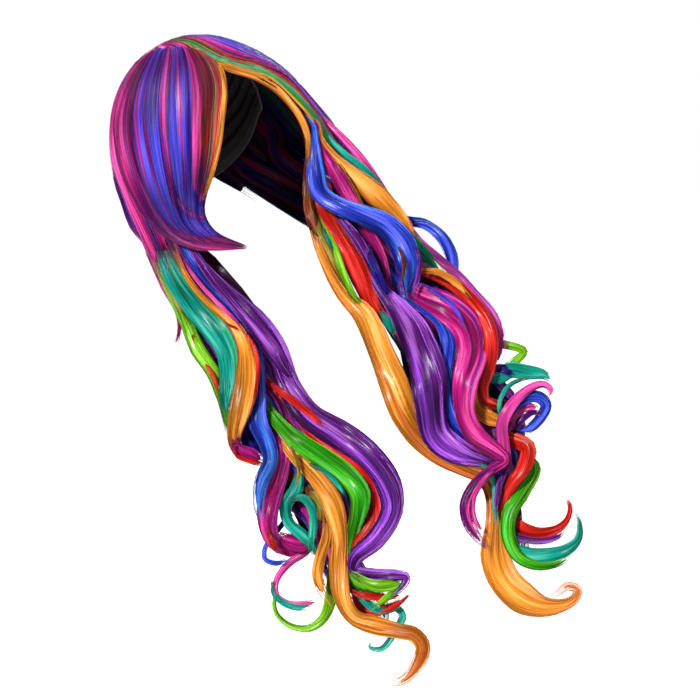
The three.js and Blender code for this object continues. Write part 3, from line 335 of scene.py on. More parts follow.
# Every lock: its colour, its thickness, and a row for each bend with the place across, the
# height, the depth in front of the wig's axis, the width there, and the degrees that its flat is
# turned to the right where it doesn't face the viewer
LOCKS = [
    ("frame_orange", "orange", 6, [
        (46, -42, 94, 3), (54, -52, 91, 7), (62, -60, 87, 9), (72, -70, 82, 9),
        (86, -86, 71, 9), (98, -108, 61, 9), (105, -135, 54, 8), (107, -158, 52, 8),
        (103, -180, 54, 7), (94, -198, 60, 6), (85, -212, 66, 4)]),
    ("left_orange", "orange", 8, [
        (-106, -212, 80, 6), (-110, -262, 76, 6), (-102, -302, 74, 8), (-89, -335, 76, 12),
        (-88, -368, 80, 20), (-104, -402, 84, 28), (-132, -436, 80, 26), (-154, -462, 70, 16),
        (-157, -480, 58, 12), (-145, -500, 46, 10), (-128, -512, 40, 6)]),
    ("left_purple", "violet", 11, [
        (-91, -212, 88, 10), (-86, -262, 84, 12), (-75, -302, 80, 19), (-62, -345, 76, 28),
        (-57, -392, 72, 31), (-64, -438, 70, 28), (-60, -480, 74, 33), (-38, -520, 78, 36),
        (-18, -560, 82, 34), (-13, -600, 84, 32), (-25, -634, 82, 28), (-60, -656, 78, 24),
        (-92, -664, 70, 18), (-101, -677, 64, 14), (-86, -692, 68, 16), (-60, -706, 74, 14),
        (-49, -715, 78, 10), (-58, -723, 80, 8), (-78, -727, 80, 4)]),
    ("left_teal", "teal", 8, [
        (-120, -212, 72, 16), (-125, -252, 67, 24), (-121, -292, 64, 28), (-111, -332, 64, 32),
        (-110, -362, 66, 30), (-124, -394, 66, 24), (-141, -418, 62, 16), (-152, -438, 56, 6)]),
    ("left_green", "green", 8, [
        (-101, -440, 46, 10), (-97, -470, 58, 16), (-88, -500, 66, 22), (-70, -535, 70, 26),
        (-54, -568, 73, 28), (-50, -596, 73, 26), (-64, -618, 69, 20), (-86, -640, 62, 14),
        (-102, -660, 54, 10), (-108, -682, 52, 14), (-95, -702, 56, 18), (-74, -713, 62, 14),
        (-62, -716, 66, 6)]),
    ("left_red", "red", 7, [
        (-88, -412, 42, 8), (-74, -455, 56, 10), (-68, -495, 62, 14), (-52, -535, 64, 18),
        (-40, -575, 66, 22), (-38, -606, 66, 26), (-52, -634, 62, 22), (-84, -648, 56, 12),
        (-98, -656, 50, 5)]),
    ("left_blue", "blue", 8, [
        (-98, -212, 86, 8), (-96, -255, 80, 14), (-89, -290, 74, 16), (-80, -318, 68, 12),
        (-75, -352, 62, 9), (-80, -390, 60, 9), (-99, -428, 60, 14), (-118, -458, 62, 26),
        (-121, -485, 66, 22), (-128, -508, 70, 18), (-150, -526, 74, 18), (-167, -550, 72, 14),
        (-174, -576, 66, 5)]),
    ("left_lime", "lime", 7, [
        (-133, -208, 50, 10), (-136, -260, 50, 12), (-139, -310, 50, 14), (-141, -345, 51, 20),
        (-138, -380, 52, 18), (-144, -410, 50, 12), (-153, -440, 47, 8), (-158, -453, 46, 3)]),
    ("left_orange_low", "orange", 9, [
        (-106, -470, 42, 10), (-99, -515, 58, 15), (-88, -556, 64, 22), (-86, -592, 66, 26),
        (-98, -630, 66, 22), (-117, -664, 66, 23), (-131, -700, 66, 20), (-130, -728, 66, 20),
        (-112, -750, 66, 22), (-90, -768, 66, 18), (-74, -782, 68, 18), (-72, -800, 70, 18),
        (-88, -817, 72, 16), (-112, -826, 72, 12), (-136, -820, 70, 4)]),
    ("left_magenta", "magenta", 9, [
        (-104, -472, 46, 10), (-110, -506, 54, 20), (-128, -528, 62, 26), (-150, -548, 64, 28),
        (-166, -572, 62, 24), (-172, -598, 56, 20), (-158, -615, 50, 22), (-140, -622, 46, 18),
        (-125, -618, 42, 8)]),
    ("left_teal_curl", "teal", 7, [
        (-103, -536, 46, 12), (-116, -554, 56, 16), (-138, -566, 60, 14), (-145, -586, 60, 13),
        (-136, -610, 58, 14), (-132, -630, 56, 10), (-140, -641, 54, 4)]),
    ("left_blue_loop", "blue", 4, [
        (-136, -578, 44, 6), (-165, -590, 50, 5), (-185, -600, 54, 5), (-192, -612, 54, 5),
        (-182, -623, 52, 6), (-160, -627, 48, 4)]),
    ("left_magenta_loop", "pink", 5, [
        (-118, -606, 40, 8), (-140, -627, 46, 10), (-168, -631, 50, 9), (-192, -642, 52, 7),
        (-200, -658, 52, 6), (-190, -676, 50, 7), (-172, -686, 48, 8), (-158, -690, 44, 4)]),
    ("left_lime_loop", "lime", 5, [
        (-122, -655, 40, 9), (-144, -694, 44, 15), (-164, -711, 48, 11), (-186, -713, 50, 8),
        (-205, -699, 50, 6), (-212, -678, 48, 5), (-204, -660, 46, 4), (-190, -652, 44, 3)]),
    ("left_teal_tail", "teal", 5, [
        (-112, -690, 42, 9), (-108, -716, 48, 10), (-96, -738, 54, 8), (-78, -743, 57, 8),
        (-76, -756, 58, 9), (-92, -767, 58, 8), (-118, -778, 57, 6), (-130, -769, 56, 4),
        (-119, -763, 56, 3)]),
    ("left_red_low", "red", 5, [
        (-104, -668, 42, 8), (-110, -697, 43, 12), (-118, -722, 45, 11), (-106, -735, 48, 10),
        (-84, -737, 50, 8), (-60, -735, 52, 5)]),
    ("left_wisp", "magenta", 4, [
        (-137, -205, 36, 8), (-141, -255, 34, 7), (-141, -290, 33, 5), (-150, -312, 33, 4),
        (-162, -326, 33, 3)]),
    ("left_dark", "dark", 9, [
        (-92, -225, 36, 20), (-78, -262, 44, 24), (-66, -312, 50, 20), (-58, -366, 54, 14),
        (-56, -412, 56, 7)]),
    ("right_blue", "blue", 9, [
        (108, -190, 56, 10), (93, -218, 60, 22), (84, -246, 64, 24), (97, -272, 66, 22),
        (118, -297, 66, 24), (136, -320, 66, 30), (143, -350, 66, 34), (136, -380, 64, 30),
        (122, -402, 60, 24), (114, -424, 54, 10)]),
    ("right_purple", "violet", 11, [
        (92, -225, 44, 8), (92, -285, 48, 10), (97, -325, 53, 13), (94, -360, 56, 14),
        (95, -392, 58, 16), (101, -420, 60, 26), (104, -450, 62, 40), (102, -480, 64, 45),
        (94, -510, 66, 45), (78, -545, 68, 40), (68, -578, 68, 38), (80, -608, 66, 32),
        (102, -632, 60, 20), (122, -650, 54, 8)]),
    ("right_magenta", "magenta", 11, [
        (116, -392, 44, 14), (134, -418, 56, 26), (154, -446, 63, 36), (164, -478, 66, 42),
        (156, -508, 70, 40), (129, -538, 74, 31), (112, -570, 76, 25), (110, -602, 76, 25),
        (122, -630, 74, 19), (126, -645, 74, 13), (105, -649, 72, 12), (78, -656, 70, 12),
        (57, -672, 68, 14), (50, -694, 66, 14), (52, -716, 64, 10), (56, -732, 62, 3)]),
    ("right_magenta_ring", "pink", 6, [
        (128, -656, 60, 8), (136, -626, 66, 15), (146, -604, 67, 15), (166, -590, 66, 13),
        (192, -583, 63, 10), (214, -586, 58, 8), (219, -597, 53, 7), (209, -606, 50, 4)]),
    ("right_orange_side", "orange", 8, [
        (116, -190, 46, 8), (121, -218, 46, 12), (132, -250, 48, 23), (145, -285, 48, 28),
        (156, -318, 46, 18), (160, -338, 43, 10), (156, -353, 40, 5)]),
    ("right_magenta_side", "magenta", 8, [
        (111, -190, 48, 8), (112, -222, 52, 15), (112, -258, 52, 18), (116, -288, 50, 16),
        (112, -318, 47, 16), (113, -345, 47, 14), (107, -375, 46, 10), (102, -396, 44, 6)]),
    ("right_red", "red", 8, [
        (84, -222, 44, 10), (79, -262, 50, 16), (79, -300, 52, 19), (80, -340, 54, 25),
        (78, -375, 53, 26), (75, -402, 50, 18), (82, -422, 44, 6)]),
    ("right_red_band", "red", 8, [
        (136, -376, 40, 8), (152, -395, 45, 12), (170, -415, 50, 16), (183, -445, 54, 16),
        (189, -478, 56, 18), (182, -508, 58, 18), (164, -535, 58, 20), (146, -552, 56, 18),
        (140, -568, 54, 16), (150, -580, 50, 12), (168, -585, 46, 5)]),
    ("right_blue_mid", "blue", 8, [
        (117, -405, 40, 12), (130, -430, 47, 18), (141, -458, 52, 20), (138, -484, 55, 24),
        (120, -508, 56, 24), (104, -532, 56, 22), (95, -562, 54, 20), (99, -592, 52, 18),
        (109, -618, 50, 12), (114, -640, 48, 5)]),
    ("right_orange", "orange", 9, [
        (98, -196, 30, 8), (74, -238, 40, 9), (56, -284, 47, 11), (49, -330, 50, 13),
        (50, -372, 52, 18), (60, -405, 54, 27), (57, -450, 56, 32), (52, -495, 57, 36),
        (46, -535, 57, 38), (50, -570, 56, 34), (62, -604, 54, 28), (80, -632, 50, 22),
        (94, -656, 45, 15), (90, -682, 44, 15), (76, -712, 46, 23), (61, -742, 48, 36),
        (56, -775, 50, 42), (65, -806, 52, 40), (84, -829, 54, 24), (106, -839, 55, 14),
        (122, -838, 55, 11), (130, -830, 54, 10), (121, -820, 52, 10), (96, -824, 50, 5)]),
    ("right_lime", "lime", 6, [
        (76, -238, 38, 6), (70, -285, 52, 7), (67, -320, 59, 8), (61, -352, 61, 9),
        (60, -380, 60, 8), (67, -402, 56, 4)]),
    ("right_pink_side", "pink", 8, [
        (138, -190, 4, 8), (147, -225, 6, 10), (152, -258, 8, 10), (155, -290, 12, 8),
        (159, -330, 18, 8), (163, -358, 26, 9), (174, -386, 32, 10), (184, -415, 38, 12),
        (190, -448, 42, 16), (197, -480, 44, 18), (193, -508, 44, 19), (181, -530, 44, 15),
        (164, -545, 42, 6)]),
    ("right_blue_loop", "blue", 7, [
        (141, -298, 8, 8), (161, -327, 12, 12), (179, -341, 16, 14), (190, -367, 19, 14),
        (190, -393, 22, 14), (183, -413, 24, 10), (177, -426, 25, 4)]),
    ("right_teal_side", "teal", 6, [
        (126, -192, 26, 6), (133, -218, 26, 9), (144, -245, 26, 12), (152, -275, 28, 9),
        (152, -320, 28, 10), (158, -362, 34, 16), (165, -392, 36, 16), (172, -416, 37, 6)]),
    ("right_orange_curl", "orange", 7, [
        (140, -520, 46, 12), (132, -552, 52, 20), (130, -578, 54, 22), (140, -597, 52, 16),
        (154, -604, 48, 6)]),
    ("right_blue_ring", "blue", 6, [
        (136, -612, 40, 8), (158, -597, 48, 11), (182, -590, 53, 14), (201, -597, 53, 14),
        (205, -611, 51, 14), (190, -622, 49, 13), (170, -626, 47, 11), (155, -618, 45, 5)]),
    ("right_lime_knot", "lime", 5, [
        (172, -500, 32, 8), (193, -519, 34, 10), (206, -530, 36, 10), (212, -539, 36, 9),
        (198, -544, 34, 10), (181, -543, 31, 4)]),
    ("right_teal_curl", "teal", 6, [
        (146, -530, 28, 10), (168, -551, 33, 18), (186, -551, 37, 20), (204, -564, 40, 18),
        (220, -576, 41, 12), (226, -590, 40, 5)]),
    ("right_red_low", "red", 7, [
        (132, -612, 36, 9), (150, -631, 48, 19), (160, -646, 53, 20), (146, -663, 55, 18),
        (118, -678, 55, 15), (98, -695, 53, 11), (87, -714, 49, 5)]),
    ("right_lime_low", "green", 8, [
        (152, -652, 36, 9), (155, -673, 43, 17), (128, -690, 48, 20), (101, -706, 50, 19),
        (86, -732, 60, 18), (85, -760, 61, 14), (100, -780, 60, 10), (126, -790, 59, 7),
        (147, -789, 58, 3)]),
    ("right_teal_low", "teal", 7, [
        (110, -640, 36, 8), (96, -672, 38, 10), (83, -704, 40, 11), (77, -732, 44, 14),
        (89, -756, 48, 20), (114, -774, 51, 18), (142, -781, 53, 14), (162, -774, 53, 9),
        (172, -756, 53, 5), (173, -742, 53, 3)]),
    ("right_red_curl", "red", 6, [
        (97, -706, 36, 13), (104, -730, 42, 21), (122, -747, 47, 15), (144, -753, 50, 10),
        (161, -747, 51, 6), (171, -734, 52, 4), (171, -722, 52, 3)]),
    ("left_side", "mixed", 14, [
        (-130, -200, 10, 40, -95), (-134, -280, 10, 50, -95), (-123, -350, 16, 54, -90),
        (-134, -420, 20, 52, -85), (-117, -490, 16, 50, -90), (-133, -550, 22, 44, -90),
        (-118, -610, 18, 36, -90), (-133, -660, 24, 24, -90), (-124, -704, 25, 6, -90)]),
    ("right_side", "mixed", 14, [
        (134, -200, -18, 40, 82), (148, -280, -14, 50, 80), (140, -350, -4, 54, 85),
        (166, -420, 5, 54, 75), (176, -480, 14, 50, 70), (162, -540, 10, 46, 75),
        (172, -600, 16, 38, 80), (146, -652, 13, 24, 80), (140, -694, 18, 6, 80)]),
    ("left_rear", "mixed", 16, [
        (-115, -190, -40, 44, -125), (-124, -250, -28, 52, -118), (-118, -320, -8, 54, -115),
        (-106, -390, -6, 54, -125), (-120, -460, -2, 56, -135), (-104, -530, -5, 52, -140),
        (-119, -600, 2, 42, -140), (-106, -660, 1, 28, -140), (-114, -714, 8, 8, -140)]),
    ("right_rear", "mixed", 16, [
        (108, -185, -72, 44, 120), (124, -250, -58, 52, 115), (138, -320, -36, 54, 115),
        (132, -390, -22, 56, 120), (158, -460, -8, 60, 130), (148, -530, -10, 56, 135),
        (157, -600, -2, 46, 140), (132, -655, -2, 30, 140), (130, -708, 4, 8, 140)]),
    ("left_back", "mixed", 16, [
        (-74, -170, -80, 40, -155), (-92, -235, -66, 52, -145), (-108, -305, -38, 56, -150),
        (-92, -380, -24, 60, -165), (-80, -455, -16, 64, -180), (-99, -530, -20, 60, -180),
        (-84, -600, -10, 48, -180), (-105, -665, -9, 34, -180), (-91, -725, 0, 18, -180),
        (-102, -760, 4, 5, -180)]),
    ("right_nape", "mixed", 15, [
        (62, -180, -100, 44, 145), (92, -250, -84, 50, 140), (122, -320, -58, 54, 135),
        (118, -390, -42, 56, 145), (143, -460, -26, 58, 155), (128, -530, -26, 56, 165),
        (152, -600, -16, 44, 170), (132, -655, -14, 28, 175), (142, -700, -6, 6, 180)]),
    ("right_back", "mixed", 16, [
        (16, -168, -110, 40, 165), (52, -232, -103, 50, 158), (90, -300, -76, 56, 155),
        (94, -380, -54, 60, 165), (111, -455, -36, 62, 180), (88, -530, -34, 58, 180),
        (105, -600, -22, 46, 180), (98, -665, -19, 26, 180), (103, -728, -6, 14, 180),
        (96, -764, 0, 5, 180)]),
    ("left_core", "mixed", 36, [
        (-114, -222, 30, 30), (-106, -290, 26, 50), (-102, -360, 26, 62), (-100, -440, 26, 68),
        (-94, -510, 27, 76), (-92, -570, 28, 74), (-102, -635, 28, 54), (-110, -695, 29, 28),
        (-108, -728, 30, 8)]),
    ("right_core", "mixed", 36, [
        (124, -222, 8, 30), (114, -290, 14, 52), (110, -360, 16, 68), (118, -440, 18, 88),
        (122, -510, 18, 94), (118, -570, 18, 82), (120, -630, 19, 60), (106, -690, 20, 36),
        (94, -732, 22, 20), (92, -756, 23, 8)]),
]

# Thin strands of other colours that lie over the locks: colour, thickness and bends
ACCENTS = [
    ("left_olive", "olive", 4, [(-133, -222, 56, 4), (-136, -248, 56, 8), (-135, -280, 57, 8),
        (-138, -308, 56, 3)]),
    ("left_pink_line", "pink", 3, [(-103, -238, 88, 3), (-102, -262, 86, 5), (-94, -300, 84, 5),
        (-84, -333, 83, 4), (-77, -360, 80, 2)]),
    ("left_orange_rim", "red", 3, [(-97, -330, 86, 2), (-79, -360, 88, 4), (-82, -390, 90, 5),
        (-100, -420, 92, 4), (-125, -448, 90, 2)]),
    ("left_lime_streak", "red", 3, [(-138, -325, 56, 2), (-142, -350, 58, 5), (-140, -385, 58, 4),
        (-147, -412, 55, 2)]),
    ("left_violet_over", "violet", 6, [(-88, -240, 90, 6), (-82, -275, 88, 12),
        (-68, -334, 86, 20), (-59, -390, 84, 22), (-58, -424, 82, 13), (-55, -443, 80, 3)]),
    ("left_red_over", "red", 4, [(-82, -424, 82, 3), (-73, -444, 86, 8), (-62, -470, 88, 9),
        (-54, -490, 88, 6), (-49, -508, 87, 2)]),
    ("left_maroon", "magenta", 7, [(-153, -463, 76, 8), (-157, -477, 74, 16), (-146, -491, 70, 17),
        (-132, -507, 62, 8)]),
    ("left_maroon_rim", "red", 3, [(-158, -469, 80, 2), (-162, -484, 78, 4), (-149, -498, 74, 5),
        (-136, -511, 66, 2)]),
    ("left_olive_thread", "olive", 3, [(-96, -503, 72, 2), (-99, -523, 74, 4), (-106, -541, 74, 4),
        (-118, -554, 70, 2)]),
    ("left_teal_thread", "teal", 3, [(-88, -534, 72, 3), (-76, -551, 72, 6), (-69, -573, 70, 6),
        (-68, -597, 68, 3)]),
    ("left_olive_low", "olive", 6, [(-104, -557, 54, 8), (-102, -578, 58, 16),
        (-103, -596, 60, 16), (-114, -608, 58, 6)]),
    ("left_teal_ring", "teal", 5, [(-131, -561, 64, 4), (-115, -568, 68, 10), (-111, -584, 70, 11),
        (-119, -604, 68, 11), (-131, -621, 66, 9), (-140, -635, 64, 4)]),
    ("left_red_tip", "red", 4, [(-171, -582, 70, 3), (-174, -599, 70, 8), (-174, -615, 66, 4)]),
    ("left_magenta_end", "magenta", 6, [(-164, -593, 60, 8), (-156, -607, 62, 20),
        (-143, -617, 62, 20), (-126, -614, 58, 8)]),
    ("left_teal_hoop", "teal", 3, [(-197, -640, 58, 3), (-203, -656, 62, 6), (-197, -672, 62, 8),
        (-183, -685, 60, 8), (-163, -689, 56, 4)]),
    ("left_orange_branch", "orange", 5, [(-98, -598, 68, 8), (-112, -624, 72, 12),
        (-131, -643, 72, 13), (-144, -660, 70, 13), (-148, -677, 68, 13), (-149, -704, 66, 5)]),
    ("left_green_fold", "lime", 4, [(-107, -677, 66, 5), (-92, -702, 72, 14), (-69, -715, 76, 14),
        (-52, -721, 78, 4)]),
    ("left_green_flick", "lime", 3, [(-54, -721, 78, 3), (-80, -726, 76, 9), (-109, -730, 72, 3)]),
    ("left_red_line", "red", 3, [(-120, -695, 62, 4), (-104, -711, 66, 8), (-83, -725, 68, 8),
        (-57, -735, 70, 3)]),
    ("left_red_flick", "red", 3, [(-57, -736, 70, 2), (-79, -740, 68, 6), (-106, -739, 64, 2)]),
    ("right_lilac", "violet", 4, [(93, -287, 62, 3), (99, -317, 66, 8), (99, -343, 66, 8),
        (98, -370, 62, 3)]),
    ("right_navy", "indigo", 5, [(104, -329, 62, 4), (100, -356, 66, 10), (97, -383, 66, 12),
        (98, -405, 64, 5)]),
    ("right_brown_thread", "brown", 3, [(138, -351, 76, 2), (133, -374, 78, 5),
        (118, -395, 76, 2)]),
    ("right_violet_thread", "violet", 3, [(157, -358, 74, 2), (151, -382, 76, 5),
        (135, -402, 74, 5), (121, -413, 70, 2)]),
    ("right_gold_line", "orange", 4, [(147, -390, 64, 4), (166, -403, 70, 8), (179, -426, 72, 8),
        (186, -451, 70, 3)]),
    ("right_indigo_line", "iris", 3, [(138, -402, 78, 2), (155, -429, 82, 5), (163, -455, 84, 5),
        (162, -484, 84, 2)]),
    ("right_olive", "olive", 4, [(67, -257, 50, 4), (61, -290, 58, 8), (59, -322, 62, 8),
        (58, -355, 63, 7), (60, -386, 62, 3)]),
    ("right_teal_thread", "teal", 4, [(64, -281, 54, 4), (63, -305, 60, 8), (62, -335, 63, 8),
        (60, -365, 62, 3)]),
    ("right_brown", "brown", 6, [(96, -194, 36, 4), (76, -228, 46, 10), (63, -256, 51, 13),
        (57, -280, 54, 12), (54, -308, 56, 5)]),
    ("right_teal_spot", "teal", 4, [(80, -411, 58, 4), (82, -428, 62, 10), (81, -448, 60, 3)]),
    ("right_orange_rim", "brown", 3, [(122, -225, 58, 3), (125, -262, 60, 6), (122, -287, 60, 5),
        (120, -302, 58, 2)]),
    ("right_magenta_rim", "magenta", 4, [(115, -202, 58, 3), (118, -241, 60, 8),
        (119, -273, 60, 8), (121, -293, 58, 3)]),
    ("right_pink_inner", "pink", 3, [(118, -647, 76, 3), (91, -656, 76, 6), (70, -670, 74, 7),
        (61, -687, 72, 6), (60, -705, 70, 4), (63, -717, 68, 2)]),
    ("right_teal_strip", "teal", 3, [(93, -630, 58, 3), (104, -647, 62, 6), (100, -668, 62, 6),
        (87, -694, 60, 6), (76, -726, 64, 3)]),
    ("right_violet_strip", "violet", 4, [(129, -652, 62, 4), (113, -665, 66, 8), (99, -679, 66, 8),
        (83, -701, 62, 3)]),
    ("right_violet_curl", "violet", 4, [(86, -712, 52, 4), (94, -735, 56, 9), (113, -752, 58, 8),
        (138, -760, 58, 6), (157, -755, 56, 2)]),
    ("right_teal_hoop", "teal", 3, [(203, -571, 46, 3), (182, -567, 50, 5), (164, -573, 52, 5),
        (152, -585, 52, 5), (147, -601, 50, 3)]),
    ("right_dark_bit", "indigo", 5, [(168, -539, 40, 6), (180, -546, 44, 12), (186, -563, 42, 5)]),
    ("right_ring_fill", "pink", 5, [(150, -617, 50, 5), (165, -603, 54, 10), (184, -602, 56, 11),
        (197, -613, 54, 4)]),
    ("right_ring_violet", "violet", 4, [(157, -620, 52, 3), (172, -612, 56, 7), (186, -611, 57, 7),
        (194, -618, 56, 3)]),
    ("left_navy_fill", "indigo", 6, [(-126, -440, 52, 6), (-137, -460, 54, 18),
        (-140, -478, 54, 18), (-132, -500, 52, 6)]),
]

ACCENT_HEART = (0.1, 0.85)  # between which shares of its length an accent has a solid middle
ACCENT_TIPS = 0.2  # the share over which its strands end
ACCENT_STRANDS = 12  # how many it has at least
ACCENT_POINTS = 4  # points along a strand from bend to bend
ACCENT_FOLDS = 2  # grooves along it, and along the bang's edge

TURNED_BEND = 5  # how many values a bend has where the flat of the lock is turned
ROOT_SHARE = 0.3  # the share of its thickness that a lock has at its root and at its tip
TIP_SHARE = 0.25
LOCK_SIDES = 28
LOCK_FOLD = 0.28  # depth of the grooves along a lock, as a share of its thickness
LOCK_FOLD_WIDTH = 7  # how wide they are
LEAST_FOLDS = 2
LOCK_FOLD_DRIFT = 40  # the length over which they drift aside by a radian of a fold
LOCK_TWIST = 24.0  # how far, in degrees, and how often a lock turns its flat aside
LOCK_TURN = 170.0
TURNED_TWIST = 5.0  # how far one does that is turned to the side or the back
LOCK_SWELL = 5.0  # how far a lock waves to and fro in depth, and how often
LOCK_WAVE = 105.0
LOCK_FREE = (-270, -215)  # between which heights it comes free of the dome and begins to wave
LOCK_UNDERSIDE = -0.1  # below this share of half its thickness lies the inside of a turned lock

# Locks that are led up from their roots into the hair of the dome: how far up, how deep and with
# what share of their width. The other roots are sunk under the dome's hair.
REAR_LEAD = ((26, 2.5, 0.85), (56, 3, 0.55), (86, 3.5, 0.28), (112, 6, 0.06))
SHORT_LEAD = ((22, 2, 0.6), (44, 6, 0.25))
LONG_LEAD = ((30, 4, 0.8), (70, 5, 0.55), (110, 8, 0.2))
ROOT_LEADS = {
    "right_blue": SHORT_LEAD, "right_orange_side": SHORT_LEAD, "right_magenta_side": SHORT_LEAD,
    "right_teal_side": LONG_LEAD, "right_pink_side": LONG_LEAD}
ROOTED_ABOVE = -245.0  # the height above which a root counts as lying on the dome
ROOT_SUNK = 8.0  # how deep


# Places and curves

def turned(vector, degrees):
    """A level vector, turned about the upright."""
    c, s = math.cos(math.radians(degrees)), math.sin(math.radians(degrees))
    return np.array([c * vector[0] - s * vector[1], s * vector[0] + c * vector[1], vector[2]])


UP = np.array([0.0, 0.0, 1.0])
VIEW_ACROSS = turned((1.0, 0.0, 0.0), VIEW_TURN)
VIEW_FORWARD = turned((0.0, -1.0, 0.0), VIEW_TURN)


def placed(across, height, depth):
    """A drawn place, moved along the line of sight to its depth, in the wig's own frame."""
    nearness = (VIEW_DISTANCE - depth) / (VIEW_DISTANCE - DRAWING_DEPTH)
    s = VIEW_CENTRE[0] + (across - VIEW_CENTRE[0]) * nearness
    z = VIEW_CENTRE[1] + (height - VIEW_CENTRE[1]) * nearness
    return s * VIEW_ACROSS + depth * VIEW_FORWARD + z * UP


def smooth_path(points, steps):
    """A smooth curve through the points, with that many steps between each two."""
    points = np.asarray(points, float)
    ends = [2 * points[0] - points[1], 2 * points[-1] - points[-2]]
    p = np.vstack([ends[0], points, ends[1]])
    gaps = np.maximum(np.linalg.norm(np.diff(p, axis=0), axis=1) ** 0.5, 1e-6)
    path = []
    for i in range(1, len(points)):
        a, b, c, d = p[i - 1:i + 3]
        g0, g1, g2 = gaps[i - 1:i + 2]
        leave = ((b - a) / g0 - (c - a) / (g0 + g1) + (c - b) / g1) * g1
        arrive = ((c - b) / g1 - (d - b) / (g1 + g2) + (d - c) / g2) * g1
        for t in np.arange(steps) / steps:
            path.append(b + leave * t + (3 * (c - b) - 2 * leave - arrive) * t ** 2
                        + (2 * (b - c) + leave + arrive) * t ** 3)
    path.append(points[-1])
    return np.array(path)


def unit(vectors):
    """The vectors, each made one long."""
    return vectors / np.maximum(np.linalg.norm(vectors, axis=-1, keepdims=True), 1e-9)


def eased(low, high, value):
    """From 0 at the low value to 1 at the high one, without a corner."""
    share = np.clip((value - low) / (high - low), 0, 1)
    return share * share * (3 - 2 * share)


DOME_CURVE = smooth_path(HAIR_DOME, 12)[::-1]


def dome_sizes(height):
    """Half width, front and back reach and shift of the dome of hair at a height."""
    return [np.interp(height, DOME_CURVE[:, 0], DOME_CURVE[:, i]) for i in (1, 2, 3, 4)]


def on_dome(turn, height, drawn_in):
    """A point of the dome at a turn from the front, drawn in by a thickness."""
    *sizes, aside = dome_sizes(height)
    half, front, back = [max(0.0, size - drawn_in) for size in sizes]
    facing = math.cos(math.radians(turn))
    reach = front if facing > 0 else back
    return np.array([aside + half * math.sin(math.radians(turn)), -reach * facing, height])


def laid_on_dome(across, height):
    """The place on the front of the dome where a drawn point lies."""
    point = placed(across, height, DRAWING_DEPTH)
    f = VIEW_FORWARD

    # The height changes with the depth, and both are settled after a few rounds
    for _ in range(5):
        sizes = dome_sizes(point[2])
        half, front = np.maximum(sizes[:2], 1.0)
        x, y = (point @ VIEW_ACROSS) * VIEW_ACROSS[:2] - (sizes[3], 0)
        square = (f[0] / half) ** 2 + (f[1] / front) ** 2
        cross = x * f[0] / half ** 2 + y * f[1] / front ** 2
        rest = (x / half) ** 2 + (y / front) ** 2 - 1
        depth = (-cross + math.sqrt(max(0.0, cross * cross - square * rest))) / square
        point = placed(across, height, depth)
    return point


# Forms: rings of points from root to tip, each ring closed, with the share across of each point

def rooted(bends, lead):
    """The bends of a lock, led up into the hair of the dome where its root lies on it."""
    across, height, depth, width = bends[0][:4]
    root = placed(across, height, depth)
    points = [placed(*bend[:3]) for bend in bends]
    widths = [bend[3] for bend in bends]
    turns = [bend[4] if len(bend) == TURNED_BEND else 0 for bend in bends]
    if height > ROOTED_ABOVE and not lead and not turns[0]:
        points[0] = placed(across, height, depth - ROOT_SUNK)
    turn = math.degrees(math.atan2(root[0], -root[1]))
    for rise, sunk, share in lead:
        points.insert(0, on_dome(turn, root[2] + rise, sunk))
        widths.insert(0, width * share)
        turns.insert(0, turn - VIEW_TURN if turns[-1] else 0)
    return points, widths, turns


def fuller(share):
    """Nothing at the root and the tip of a lock, and one in its middle."""
    return np.sin(math.pi * share) ** 0.5


def lock_path(bends, lead, backed):
    """A lock's way from root to tip: its points, and the width, the turn and the length at each."""
    steps = 5
    points, widths, turns = rooted(bends, lead)
    path = smooth_path(points, steps)
    rows = len(path)
    places = np.arange(rows) / steps
    knots = np.arange(len(points))
    width = np.interp(places, knots, widths)
    lengths = np.concatenate([[0], np.cumsum(np.linalg.norm(np.diff(path, axis=0), axis=1))])
    twist = TURNED_TWIST if backed else LOCK_TWIST
    twisted = twist * np.sin(2 * math.pi * lengths / LOCK_TURN + points[0][2])
    facing = np.interp(places, knots, turns) + twisted
    if not backed:
        free = fuller(np.arange(rows) / (rows - 1)) * (1 - eased(*LOCK_FREE, path[:, 2]))
        swell = LOCK_SWELL * free * np.sin(2 * math.pi * lengths / LOCK_WAVE + points[0][0])
        path = path + swell[:, None] * VIEW_FORWARD
    return path, width, facing, lengths


def lock_form(thickness, bends, folds, lead=()):
    """The rings of a lock: a lens-shaped section, folded lengthwise, along its bends."""
    backed = len(bends[0]) == TURNED_BEND
    path, width, facing, lengths = lock_path(bends, lead, backed)
    share = np.arange(len(path)) / (len(path) - 1)
    full = fuller(share)
    fullness = (ROOT_SHARE + (TIP_SHARE - ROOT_SHARE) * share) * (1 - full) + full
    tangent = unit(np.gradient(path, axis=0))
    wide = unit(np.cross(tangent, [turned(VIEW_FORWARD, turn) for turn in facing]))
    thin = unit(np.cross(wide, tangent))
    angle = 2 * math.pi * np.arange(LOCK_SIDES) / LOCK_SIDES
    a = np.cos(angle)[None, :] * width[:, None] / 2
    groove = np.cos(math.pi * folds * np.cos(angle)[None, :] + lengths[:, None] / LOCK_FOLD_DRIFT)
    b = np.sin(angle)[None, :] * (1 + LOCK_FOLD * groove) * (thickness * fullness / 2)[:, None]
    rings = path[:, None, :] + a[..., None] * wide[:, None, :] + b[..., None] * thin[:, None, :]

    # The share across is never nothing, because less than nothing marks the inside
    side = np.where((np.sin(angle) < LOCK_UNDERSIDE) & backed, -1, 1)
    across = np.broadcast_to(side * (np.cos(angle) + 1.01) / 2.02, rings.shape[:2])
    return rings, across


def walled(outer, inner, across):
    """The rings of a sheet: across its outside, and back, less than nothing, across its inside."""
    rings = np.concatenate([outer, inner[:, ::-1]], axis=1)
    return rings, np.concatenate([across, -across[:, ::-1] - 1e-6], axis=1)


